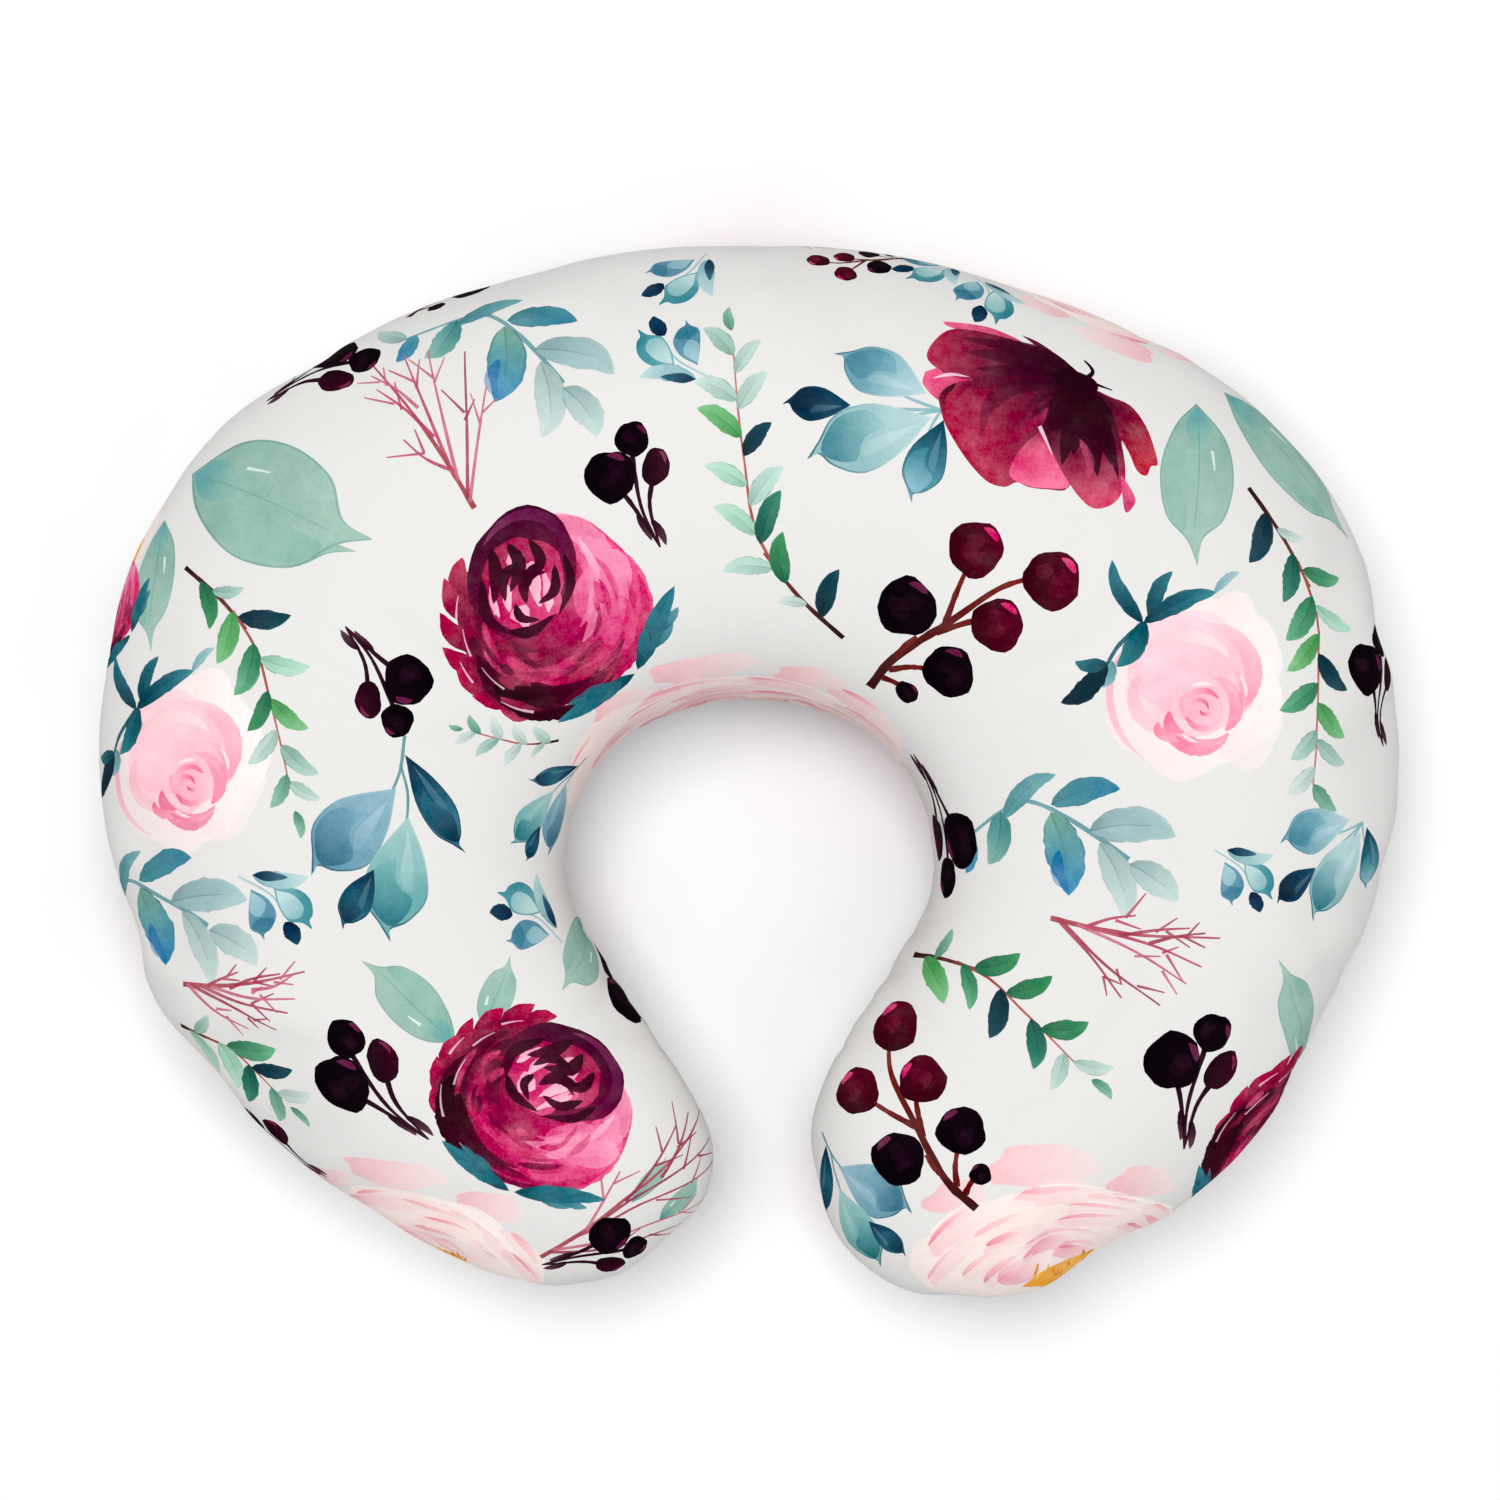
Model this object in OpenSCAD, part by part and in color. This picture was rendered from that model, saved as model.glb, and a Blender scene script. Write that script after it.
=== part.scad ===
// C-shaped nursing pillow: a zipped slipcover over a sewn casing stuffed with fibre.
// Millimetres, +Z up, resting on z = 0; the back edge (with the zipper) is at +Y
// and the mouth between the two arms opens towards -Y.

/* [Outline] */
// Radius of the back edge, which is also the track of the zipper
back_r = 380; // [300:1:480]
// Turn of the back edge on each side of the middle
back_turn = 31.6; // [28:0.1:36]
// Radius of the shoulder between back and side
shoulder_r = 173.9; // [120:0.1:240]
// Turn of the shoulder
shoulder_turn = 45.6; // [35:0.1:55]
// Radius of the outer side of an arm
side_r = 255.7; // [200:0.1:320]
// Turn of the outer side of an arm
side_turn = 81; // [70:0.1:90]
// Radius of the round arm tip
tip_r = 71.1; // [55:0.1:90]
// Radius of the opening at its top
opening_top_r = 105; // [80:1:140]
// Turn of the opening at its top, each side of the middle
opening_top_turn = 21.2; // [10:0.1:30]
// Radius of the side of the opening
opening_side_r = 65.9; // [50:0.1:90]
// Turn of the side of the opening
opening_side_turn = 101.4; // [85:0.1:110]

/* [Section] */
// Overall height at the middle of the back
height = 146; // [120:1:180]
// Height of the seam and of the zipper
seam_z = 66; // [55:1:80]
// Height where the upper half is widest, above the seam
upper_bulge = 12; // [8:1:20]
// Height of the widest level of the lower half, below the seam
lower_bulge = 12; // [8:1:20]
// Distance of the seam behind the widest outline
seam_inset = 4.5; // [3.5:0.1:7]
// Distance of the lower half behind the widest outline
lower_inset = 3; // [1:0.1:4]
// Height above the widest level at the arm tips, as a share of the back's
tip_share = 0.66; // [0.5:0.01:1]
// Roundness of the section, below 1 fuller than an ellipse
fullness = 0.88; // [0.7:0.01:1]
// Depth cut off the underside by the table it rests on
flat_depth = 4; // [2:0.5:8]

/* [Fabric] */
// Thickness of the slipcover's knit
cover_t = 0.9; // [0.6:0.1:1.5]
// Thickness of the casing's cloth
casing_t = 0.8; // [0.5:0.1:1.2]
// Gap between slipcover and casing at the crown
cover_gap = 2.3; // [1.5:0.1:4]
// Extra room between slipcover and casing at the seam
seam_room = 7; // [6:0.1:10]
// Width of the seam allowances
allowance = 4; // [3:0.1:5]
// Thickness of the overlock bead on the raw edges
bead_t = 1.2; // [0.8:0.1:1.6]

/* [Zipper] */
// Half height of the opening between the zipper's lips
lip_gap = 4.3; // [4:0.1:6]
// Height of one zipper tape
tape_h = 12; // [8:0.5:14]
// Thickness of the tape
tape_t = 0.5; // [0.4:0.05:0.8]
// Height of one coil
coil_h = 1.5; // [1.2:0.1:2]
// Thickness of the coil
coil_t = 1.35; // [1:0.05:1.8]
// Half of the slit between the two coils
coil_slit = 0.6; // [0.5:0.05:0.8]
// Angle on the track where the slider rests, at the closed end
slider_at = 25.5; // [24:0.1:26]
// Angle the slider can travel
slider_travel = 48; // [40:0.5:50]
// Length of the slider body
slider_len = 9; // [8:0.1:10]
// Width of the slider body
slider_w = 7.5; // [6.5:0.1:8]
// Length of the pull tab, from its hinge bar
pull_len = 24; // [18:0.5:25]
// Width of the pull tab
pull_w = 6.4; // [5:0.1:7]
// Thickness of the pull tab
pull_t = 1.2; // [0.8:0.1:1.6]

/* [Hidden] */
$fn = 24;

// ---- outline: arcs followed clockwise from the middle of the back ----
// a pose is [x, y, heading]; an arc is [radius, turn, stations]
function follow(pose, r, turn) =
    let (h = pose[2], g = h - turn)
    [pose[0] + r * sin(h) - r * sin(g), pose[1] - r * cos(h) + r * cos(g), g];
function arc_len(a) = a[0] * a[1] * PI / 180;
function total(v, k = 0) = k == len(v) ? 0 : v[k] + total(v, k + 1);
function walk(pose, arcs, s, k = 0) =
    k == len(arcs) ? [pose[0] + s * cos(pose[2]), pose[1] + s * sin(pose[2]), pose[2]] :
    let (a = arcs[k], l = arc_len(a))
    s <= l ? follow(pose, a[0], a[1] * s / l)
           : walk(follow(pose, a[0], a[1]), arcs, s - l, k + 1);

outer_arcs = [[back_r, back_turn, 7], [shoulder_r, shoulder_turn, 4], [side_r, side_turn, 9]];
inner_arcs = [[opening_top_r, opening_top_turn, 0], [opening_side_r, opening_side_turn, 0]];
outer_len = total([for (a = outer_arcs) arc_len(a)]);
inner_arc_len = total([for (a = inner_arcs) arc_len(a)]);
tip_start = walk([0, 0, 0], outer_arcs, outer_len);
tip_turn = 180 + opening_top_turn + opening_side_turn + tip_start[2];
tip_end = follow(tip_start, tip_r, tip_turn);
tip_xy = [tip_start[0] + tip_r * sin(tip_start[2]), tip_start[1] - tip_r * cos(tip_start[2])];
inner_stop = walk([0, 0, 0], inner_arcs, inner_arc_len);
inner_straight = (tip_end[0] - inner_stop[0]) / cos(inner_stop[2]);
inner_len = inner_arc_len + inner_straight;
inner_y = tip_end[1] - inner_stop[1] - inner_straight * sin(inner_stop[2]);

// ---- stations along one side, and the ribs from the left tip to the right tip ----
outer_s = concat([0], [for (k = [0 : len(outer_arcs) - 1])
    let (before = total([for (m = [0 : 1 : k - 1]) arc_len(outer_arcs[m])]), a = outer_arcs[k])
    for (j = [1 : a[2]]) before + arc_len(a) * j / a[2]]);
last = len(outer_s) - 1;
open_last = outer_arcs[0][2] - 1;
fan = 7;
function ease(t) = t <= 0 ? 0 : t >= 1 ? 1 : t * t * (3 - 2 * t);
function out_at(i) = walk([0, 0, 0], outer_arcs, outer_s[i]);
function in_at(i) = walk([0, inner_y, 0], inner_arcs, inner_len * outer_s[i] / outer_len);
end_mid = (out_at(last) + in_at(last)) / 2;
blend_from = 9;
function crown_at(i) =
    let (p = (out_at(i) + in_at(i)) / 2, t = ease((i - blend_from) / (last - blend_from)))
    [p[0] + t * (tip_xy[0] - end_mid[0]), p[1] + t * (tip_xy[1] - end_mid[1])];
function share(i) = 1 - (1 - tip_share) * ease((i - 6) / (last - 6));
low_y = min([for (k = [0 : fan]) follow(tip_start, tip_r, tip_turn * k / fan)[1]]);
shift_y = -low_y / 2;
track_y = shift_y - back_r;

// ---- spokes: [crown, direction, length, height share, open lip, rib] around the rim ----
function spoke(c, e, sgn, sh, lip, rib) =
    let (v = [e[0] - c[0], e[1] - c[1]], l = norm(v))
    [[sgn * c[0], c[1] + shift_y], [sgn * v[0] / l, v[1] / l], l, sh, lip, rib];
function side(i) = i < 0 ? -1 : 1;
spokes = concat(
    [for (i = [-last : last]) let (a = abs(i))
        spoke(crown_at(a), out_at(a), side(i), share(a), a <= open_last, i + last)],
    [for (k = [1 : fan - 1])
        spoke(tip_xy, follow(tip_start, tip_r, tip_turn * k / fan), 1, tip_share, false, 2 * last)],
    [for (i = [last : -1 : -last]) let (a = abs(i))
        spoke(crown_at(a), in_at(a), side(i), share(a), false, i + last)],
    [for (k = [fan - 1 : -1 : 1])
        spoke(tip_xy, follow(tip_start, tip_r, tip_turn * k / fan), -1, tip_share, false, 0)]);
count = len(spokes);
ribs = 2 * last + 1;
crowns = [for (i = [0 : ribs - 1]) spokes[i][0]];
crown_share = [for (i = [0 : ribs - 1]) spokes[i][3]];

// ---- layers: [depth, extra depth at the seam, seam inset, allowance, edge, lip edge] ----
casing_in = cover_t + cover_gap;
casing_seam = seam_inset + allowance + 4 * bead_t + 0.5;
fill_seam = casing_seam + allowance + 2 * bead_t + 0.3;
edge = 0.15;
cover_out = [0, 0, seam_inset, allowance, edge, lip_gap];
cover_in = [cover_t, 0, seam_inset + cover_t, allowance - cover_t, edge + cover_t,
    lip_gap + cover_t];
casing_out = [casing_in, seam_room, casing_seam, allowance, edge, edge];
casing_inner = [casing_in + casing_t, seam_room, casing_seam + casing_t, allowance - casing_t,
    edge + casing_t, edge + casing_t];
fill_out = [casing_in + casing_t + 0.4, seam_room, fill_seam, 0, 1.6, 1.6];

upper_angles = [15, 30, 44, 57, 69, 80, 90];
lower_angles = [23, 36, 49, 61, 72, 81, 90];
wrap_steps = [[0.32, 0.63], [1, 1]];
wide_z = seam_z + upper_bulge;
low_z = seam_z - lower_bulge;
lip_flange = 2.9;

function rim_steps(s, layer, r, z, dir) =
    let (e = seam_z + dir * (s[4] ? layer[5] : layer[4]), rs = s[2] - layer[2],
        f = s[4] && layer[3] > 0 && layer[2] < casing_seam ? rs - (s[2] - seam_inset - lip_flange)
            : layer[3])
    concat([for (w = wrap_steps) [r + (rs - r) * w[0], z + (e - z) * w[1]]],
        layer[3] > 0 ? [[rs - f, e]] : []);
function upper_section(s, layer) =
    let (d = layer[0], h = (height - wide_z) * s[3] - d)
    concat([for (a = upper_angles)
            [(s[2] - d - layer[1] * pow(sin(a), 4)) * pow(sin(a), fullness),
                wide_z + h * pow(cos(a), fullness)]],
        rim_steps(s, layer, s[2] - d - layer[1], wide_z, 1));
function lower_section(s, layer) =
    let (d = layer[0], h = low_z + flat_depth - d)
    concat([for (a = lower_angles)
            [(s[2] - lower_inset - d - layer[1] * pow(sin(a), 4)) * pow(sin(a), fullness),
                max(d, low_z - h * pow(cos(a), fullness))]],
        rim_steps(s, layer, s[2] - lower_inset - d - layer[1], low_z, -1));
function place(s, p) = [s[0][0] + s[1][0] * p[0], s[0][1] + s[1][1] * p[0], p[1]];
function upper_skin(layer) = concat(
    [for (i = [0 : ribs - 1])
        [crowns[i][0], crowns[i][1], wide_z + (height - wide_z) * crown_share[i] - layer[0]]],
    [for (s = spokes) for (p = upper_section(s, layer)) place(s, p)]);
function lower_skin(layer) = concat(
    [for (i = [0 : ribs - 1]) [crowns[i][0], crowns[i][1], layer[0]]],
    [for (s = spokes) for (p = lower_section(s, layer)) place(s, p)]);

function two(a, b, c, d) = [[a, b, c], [a, c, d]];
function flip(faces) = [for (f = faces) [f[2], f[1], f[0]]];
function skin_faces(m, base) =
    [for (q = [0 : count - 1]) let (
            n = (q + 1) % count, a = base + ribs + q * m, b = base + ribs + n * m,
            ca = base + spokes[q][5], cb = base + spokes[n][5])
        each concat(
            ca == cb ? [[ca, a, b]] : two(ca, a, b, cb),
            [for (j = [0 : m - 2]) each two(a + j, a + j + 1, b + j + 1, b + j)])];

// A closed solid between an upper and a lower skin, joined along their last steps.
module between(upper, lower) {
    m = (len(upper) - ribs) / count;
    base = len(upper);
    rim = [for (q = [0 : count - 1]) let (
            n = (q + 1) % count, a = ribs + q * m + m - 1, b = ribs + n * m + m - 1)
        each two(b, a, base + a, base + b)];
    polyhedron(concat(upper, lower), concat(skin_faces(m, 0), flip(skin_faces(m, base)), rim));
}

// A cord or strip swept through equal rings of points.
module sweep(rings, closed = false) {
    k = len(rings[0]);
    n = len(rings);
    sides = [for (i = [0 : n - (closed ? 1 : 2)]) for (j = [0 : k - 1]) let (
            a = i * k + j, b = i * k + (j + 1) % k, t = ((i + 1) % n) * k)
        each two(a, b, t + (j + 1) % k, t + j)];
    caps = closed ? [] : [[for (j = [k - 1 : -1 : 0]) j], [for (j = [0 : k - 1]) (n - 1) * k + j]];
    polyhedron([for (r = rings) each r], concat(sides, caps));
}

// The overlock bead around the raw edges of a pair of seam allowances.
function bead_ring(s, inset) =
    let (r = s[2] - inset, h = 1.1)
    [for (p = [[r, -h], [r, h], [r - bead_t, h], [r - bead_t, -h]]) place(s, [p[0], seam_z + p[1]])];

// A thin patch lying between two layers, such as a label.
module patch(section_a, section_b, from, to, first, steps) {
    w = steps + 1;
    n = to - from + 1;
    a = [for (q = [from : to]) for (j = [first : first + steps])
        place(spokes[q], section_a[q - from][j])];
    b = [for (q = [from : to]) for (j = [first : first + steps])
        place(spokes[q], section_b[q - from][j])];
    g = n * w;
    grid = [for (i = [0 : n - 2]) for (j = [0 : steps - 1])
        each two(i * w + j, i * w + j + 1, (i + 1) * w + j + 1, (i + 1) * w + j)];
    border = concat(
        [for (i = [0 : n - 2]) [i * w, (i + 1) * w]],
        [for (j = [0 : steps - 1]) [(n - 1) * w + j, (n - 1) * w + j + 1]],
        [for (i = [n - 1 : -1 : 1]) [i * w + steps, (i - 1) * w + steps]],
        [for (j = [steps : -1 : 1]) [j, j - 1]]);
    polyhedron(concat(a, b), concat(flip(grid), [for (f = grid) f + [g, g, g]],
        [for (e = border) each two(e[1], e[0], g + e[0], g + e[1])]));
}

// ---- zipper: rings about the track's axis, radii measured from the seam ----
zip_r = back_r - seam_inset;
tape_in = -3.8;
coil_in = tape_in + tape_t + 0.05;
plate_t = 0.8;
plate_out = -1.5;
plate_in = tape_in - 0.45 - plate_t;
nose = slider_len / 2 / zip_r * 180 / PI;
stop_gap = 0.07;
chain_end = slider_at + nose + stop_gap + 0.7;
chain_start = slider_at - slider_travel - nose - stop_gap - 0.7;
tape_end = chain_end + 0.15;
tape_start = chain_start - 0.8;
hinge_out = 0.65;
arch_in = 2.0;
arch_t = 0.8;
arch_w = 1.6;
arch_x = 3.65;

// Spin a radial section [r from the seam, z from the seam] between two track angles.
module along(from, to) {
    translate([0, track_y, seam_z]) rotate([0, 0, 90 - to])
        rotate_extrude(angle = to - from, $fn = 144) translate([zip_r, 0]) children();
}
// Put a shape on the track: x along the travel, y outwards, z up.
module on_track(angle) {
    translate([0, track_y, seam_z]) rotate([0, 0, -angle]) translate([0, zip_r, 0]) children();
}
module box(x, y, z) {
    translate([x[0], y[0], z[0]]) cube([x[1] - x[0], y[1] - y[0], z[1] - z[0]]);
}
module tape_section() {
    translate([tape_in, coil_slit]) square([tape_t, tape_h]);
}
module coil_section() {
    c = 0.4;
    translate([coil_in, coil_slit]) polygon([[0, 0], [coil_t - c, 0], [coil_t, c],
        [coil_t, coil_h - c], [coil_t - c, coil_h], [0, coil_h]]);
}
module stitch_section() {
    translate([tape_in + tape_t + 0.45, lip_gap + cover_t + 0.5]) circle(r = 0.33, $fn = 12);
}

// ---- sub-parts ----
module cover_top_panel() {
    color([0.93, 0.92, 0.91]) between(upper_skin(cover_out), upper_skin(cover_in));
}
module cover_bottom_panel() {
    color([0.92, 0.90, 0.90]) between(lower_skin(cover_in), lower_skin(cover_out));
}
module cover_overlock_thread() {
    first = last + open_last + 2;
    size = count - (2 * open_last + 3);
    inset = seam_inset + allowance + 0.12;
    color([0.96, 0.95, 0.93]) sweep([for (k = [0 : size - 1])
        bead_ring(spokes[(first + k) % count], inset)]);
}
module cover_care_label() {
    outer_l = [1.5, 0.8, 0, 0, 0, 0];
    inner_l = [1.9, 0.8, 0, 0, 0, 0];
    at = last - 5;
    color([0.98, 0.98, 0.97]) patch(
        [for (q = [at : at + 1]) lower_section(spokes[q], inner_l)],
        [for (q = [at : at + 1]) lower_section(spokes[q], outer_l)], at, at + 1, 3, 3);
}
module zipper_tape_upper() {
    color([0.95, 0.94, 0.93]) along(tape_start, tape_end) tape_section();
}
module zipper_tape_lower() {
    color([0.95, 0.94, 0.93]) along(tape_start, tape_end) mirror([0, 1]) tape_section();
}
module zipper_coil_upper() {
    color([0.97, 0.97, 0.96]) along(chain_start, chain_end) coil_section();
}
module zipper_coil_lower() {
    color([0.97, 0.97, 0.96]) along(chain_start, chain_end) mirror([0, 1]) coil_section();
}
module top_stop() {
    x = [(chain_end + 0.03 - slider_at) / 180 * PI * zip_r, 0];
    box([x[0], x[0] + 1.6], [tape_in + tape_t + 0.1, coil_in + coil_t + 0.2],
        [coil_slit, coil_slit + 1.9]);
}
module zipper_top_stop_upper() {
    color([0.75, 0.76, 0.78]) on_track(slider_at) translate([0, -0.2, 0]) top_stop();
}
module zipper_top_stop_lower() {
    color([0.75, 0.76, 0.78]) on_track(slider_at) translate([0, -0.2, 0]) mirror([0, 0, 1]) top_stop();
}
module zipper_bottom_stop() {
    color([0.75, 0.76, 0.78]) on_track(chain_start - 0.2)
        box([-1, 1], [tape_in + tape_t + 0.1, coil_in + coil_t + 0.2], [-2.4, 2.4]);
}
module zipper_stitching_upper() {
    color([0.97, 0.96, 0.94]) along(tape_start, tape_end) stitch_section();
}
module zipper_stitching_lower() {
    color([0.97, 0.96, 0.94]) along(tape_start, tape_end) mirror([0, 1]) stitch_section();
}
module slider_body() {
    color([0.78, 0.79, 0.81]) on_track(slider_at) {
        l = slider_len / 2;
        w = slider_w / 2;
        for (y = [plate_out, plate_in])
            translate([0, y + plate_t, 0]) rotate([90, 0, 0]) linear_extrude(plate_t)
                polygon([[-l, -w + 1.2], [-l, w - 1.2], [-l + 1.2, w], [l - 2.5, w], [l, w - 1],
                    [l, -w + 1], [l - 2.5, -w], [-l + 1.2, -w]]);
        box([l - 3, l - 0.4], [plate_in, plate_out + plate_t], [-coil_slit / 2, coil_slit / 2]);
        for (z = [[w - 0.7, w], [-w, 0.7 - w]])
            box([-l + 1.2, l - 2.5], [plate_out - 0.9, plate_out + plate_t / 2], z);
    }
}
module slider_crown() {
    color([0.80, 0.81, 0.83]) on_track(slider_at) translate([0, 0, -arch_w / 2])
        linear_extrude(arch_w) {
            foot = plate_out + plate_t + 0.02;
            difference() {
                translate([-arch_x, foot]) square([2 * arch_x, arch_in + arch_t - foot]);
                translate([-arch_x + 0.9, foot - 1]) square([2 * arch_x - 1.8, arch_in - foot + 1]);
                for (m = [0, 1]) mirror([m, 0]) translate([arch_x, arch_in + arch_t])
                    rotate(45) square(1.1, center = true);
            }
        }
}
module pull_tab() {
    eye = 2.8;
    hole = 5.2;
    r = pull_t / 2;
    color([0.80, 0.81, 0.83]) on_track(slider_at) translate([0, hinge_out, 0]) {
        cylinder(h = pull_w, r = r, center = true);
        rotate([90, 0, 0]) translate([0, 0, -r]) linear_extrude(pull_t) difference() {
            union() {
                translate([-pull_len + pull_w / 2, -pull_w / 2]) square([pull_len - pull_w / 2, pull_w]);
                translate([-pull_len + pull_w / 2, 0]) circle(d = pull_w, $fn = 32);
            }
            translate([-hole, -eye / 2]) square([hole - r, eye]);
            translate([-pull_len + pull_w / 2, 0]) circle(d = 2.6);
        }
    }
}
module casing_top_panel() {
    color([0.99, 0.99, 0.98]) between(upper_skin(casing_out), upper_skin(casing_inner));
}
module casing_bottom_panel() {
    color([0.99, 0.99, 0.98]) between(lower_skin(casing_inner), lower_skin(casing_out));
}
module casing_overlock_thread() {
    color([0.96, 0.96, 0.95]) sweep([for (s = spokes)
        bead_ring(s, casing_seam + allowance + 0.12)], closed = true);
}
module casing_closing_stitches() {
    r = [opening_top_r + casing_seam - 2, opening_top_r + casing_seam - 1.4];
    center_y = inner_y + shift_y - opening_top_r;
    color([0.95, 0.94, 0.92]) sweep([for (k = [0 : 20]) let (
            a = (k - 10) * 1.9, z = seam_z + (k % 2 == 0 ? -1.5 : 1.5))
        [for (c = [[r[0], -0.35], [r[1], -0.35], [r[1], 0.35], [r[0], 0.35]])
            [c[0] * sin(a), center_y + c[0] * cos(a), z + c[1]]]]);
}
module casing_law_label() {
    outer_l = [2.2, 5, 0, 0, 0, 0];
    inner_l = [2.6, 5, 0, 0, 0, 0];
    at = last + 2;
    color([0.97, 0.97, 0.96]) patch(
        [for (q = [at : at + 2]) lower_section(spokes[q], inner_l)],
        [for (q = [at : at + 2]) lower_section(spokes[q], outer_l)], at, at + 2, 2, 4);
}
module fibre_fill() {
    color([1, 1, 0.98]) between(upper_skin(fill_out), lower_skin(fill_out));
}

cover_top_panel();
cover_bottom_panel();
cover_overlock_thread();
cover_care_label();
zipper_tape_upper();
zipper_tape_lower();
zipper_coil_upper();
zipper_coil_lower();
zipper_top_stop_upper();
zipper_top_stop_lower();
zipper_bottom_stop();
zipper_stitching_upper();
zipper_stitching_lower();
slider_body();
slider_crown();
pull_tab();
casing_top_panel();
casing_bottom_panel();
casing_overlock_thread();
casing_closing_stitches();
casing_law_label();
fibre_fill();
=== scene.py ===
"""Looks of a C-shaped nursing pillow: printed slipcover, back-seam zipper, casing and fill."""
import math
import random

import bpy
import numpy as np
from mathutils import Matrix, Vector
from mathutils.bvhtree import BVHTree
from mathutils.geometry import delaunay_2d_cdt


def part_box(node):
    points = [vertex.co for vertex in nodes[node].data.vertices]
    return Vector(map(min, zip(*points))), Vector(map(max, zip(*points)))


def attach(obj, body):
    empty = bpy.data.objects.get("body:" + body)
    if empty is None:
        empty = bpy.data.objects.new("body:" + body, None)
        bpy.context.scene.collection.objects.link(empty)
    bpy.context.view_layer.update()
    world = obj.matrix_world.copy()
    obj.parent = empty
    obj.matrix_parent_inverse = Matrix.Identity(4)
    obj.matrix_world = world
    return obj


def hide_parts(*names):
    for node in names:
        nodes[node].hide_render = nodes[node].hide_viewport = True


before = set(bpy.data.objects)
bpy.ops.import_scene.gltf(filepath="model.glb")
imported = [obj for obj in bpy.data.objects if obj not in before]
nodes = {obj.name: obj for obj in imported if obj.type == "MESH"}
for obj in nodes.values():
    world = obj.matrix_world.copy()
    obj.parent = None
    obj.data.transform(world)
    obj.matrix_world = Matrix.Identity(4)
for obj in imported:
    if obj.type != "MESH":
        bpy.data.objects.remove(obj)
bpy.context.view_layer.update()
scene = bpy.context.scene
MM = 0.001

# ---------------------------------------------------------------- outline, in millimetres
# the outer and inner edges are chains of arcs from the back's middle: radius and turn in degrees
BACK_R = 380.0
OUTER = [(BACK_R, 31.6), (173.9, 45.6), (255.7, 81.0)]
INNER = [(105.0, 21.2), (65.9, 101.4)]
TIP_R = 71.1
HEIGHT, SEAM_Z, BULGE = 146.0, 66.0, 12.0
WIDE_Z, LOW_Z = SEAM_Z + BULGE, SEAM_Z - BULGE
SEAM_INSET, LOW_INSET, FULLNESS, FLAT_DEPTH = 4.5, 3.0, 0.88, 4.0
ROUND_ANGLE = 60.0
TIP_SHARE = 0.66
# the CAD's stations along each outer arc, and where the crown bends and its height falls
CAD_STEPS = 7, 4, 9
CROWN_BENDS, HEIGHT_FALLS = (9, 20), (6, 20)
# the zipper's lips: half their opening, where it ends at the left and right, and its fade
LIP, LIP_ENDS, LIP_FADE = 4.3, (26.8, 27.0), 2.4
# the seam's own gap, and how far the row next to it is pulled towards its own
SEAM_GAP, NEXT_GAP, NEXT_PULL = 0.12, 0.9, 0.36
# spokes along each side and around each arm's end, and rows; then the last rows' places
N_SIDE, N_FAN, ROWS = 72, 18, 12
EDGE_ROWS = (10.0, 6.5, 3.6, 1.3, 0.0)
FOLD_ROWS = (1.3, 3.0)
# the camera's height over the widest level in metres, and the point that it looks at
CAMERA_UP, CENTRE = 1.83, np.array([0, 10.8])
# how far the left arm's end lies across and up, with the y where each starts and its run
SWAY = ((13.0, -95, 110), (8.0, -130, 90))
# soft dents in the rim at the arms' ends: x, y and depth
DENTS = ((-212, -168, 2.5), (-172, -201, 3.5), (-40, -198, 4.0), (33, -176, 3.0), (95, -229, 4.0))
DENT_SPREAD = 250.0
TINY = 1e-9


def ease(t):
    """Rises smoothly from 0 to 1."""
    t = np.clip(t, 0, 1)
    return t * t * (3 - 2 * t)


def follow(x, y, heading, r, turn):
    """The end of a clockwise arc: its point and heading."""
    a, b = math.radians(heading), math.radians(heading - turn)
    return x + r * (math.sin(a) - math.sin(b)), y + r * (math.cos(b) - math.cos(a)), heading - turn


def arcs_length(arcs):
    """The length of a chain of arcs."""
    return sum(r * math.radians(t) for r, t in arcs)


def walk(y, arcs, s):
    """Where a clockwise chain of arcs that starts at (0, y) is after s millimetres."""
    x, heading = 0.0, 0.0
    for r, turn in arcs:
        length = r * math.radians(turn)
        if s <= length:
            return follow(x, y, heading, r, turn * s / length)
        x, y, heading = follow(x, y, heading, r, turn)
        s -= length
    a = math.radians(heading)
    return x + s * math.cos(a), y + s * math.sin(a), heading


OUT_LEN, IN_ARC = arcs_length(OUTER), arcs_length(INNER)
tip_start = walk(0, OUTER, OUT_LEN)
TIP_TURN = 180 + sum(t for _, t in INNER) + tip_start[2]
tip_end = follow(*tip_start, TIP_R, TIP_TURN)
TIP = np.array([tip_start[0] + TIP_R * math.sin(math.radians(tip_start[2])),
                tip_start[1] - TIP_R * math.cos(math.radians(tip_start[2]))])
stop = walk(0, INNER, IN_ARC)
straight = (tip_end[0] - stop[0]) / math.cos(math.radians(stop[2]))
IN_LEN = IN_ARC + straight
IN_Y = tip_end[1] - stop[1] - straight * math.sin(math.radians(stop[2]))
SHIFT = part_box("cover_top_panel")[1].y / MM
TRACK_Y = SHIFT - BACK_R
stations = [0.0]
for (r, turn), n in zip(OUTER, CAD_STEPS):
    first = stations[-1]
    stations += [first + r * math.radians(turn) * k / n for k in range(1, n + 1)]


def between_stations(k, span):
    """How far station k is through a span of stations."""
    return ease((k - span[0]) / (span[1] - span[0]))


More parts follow.
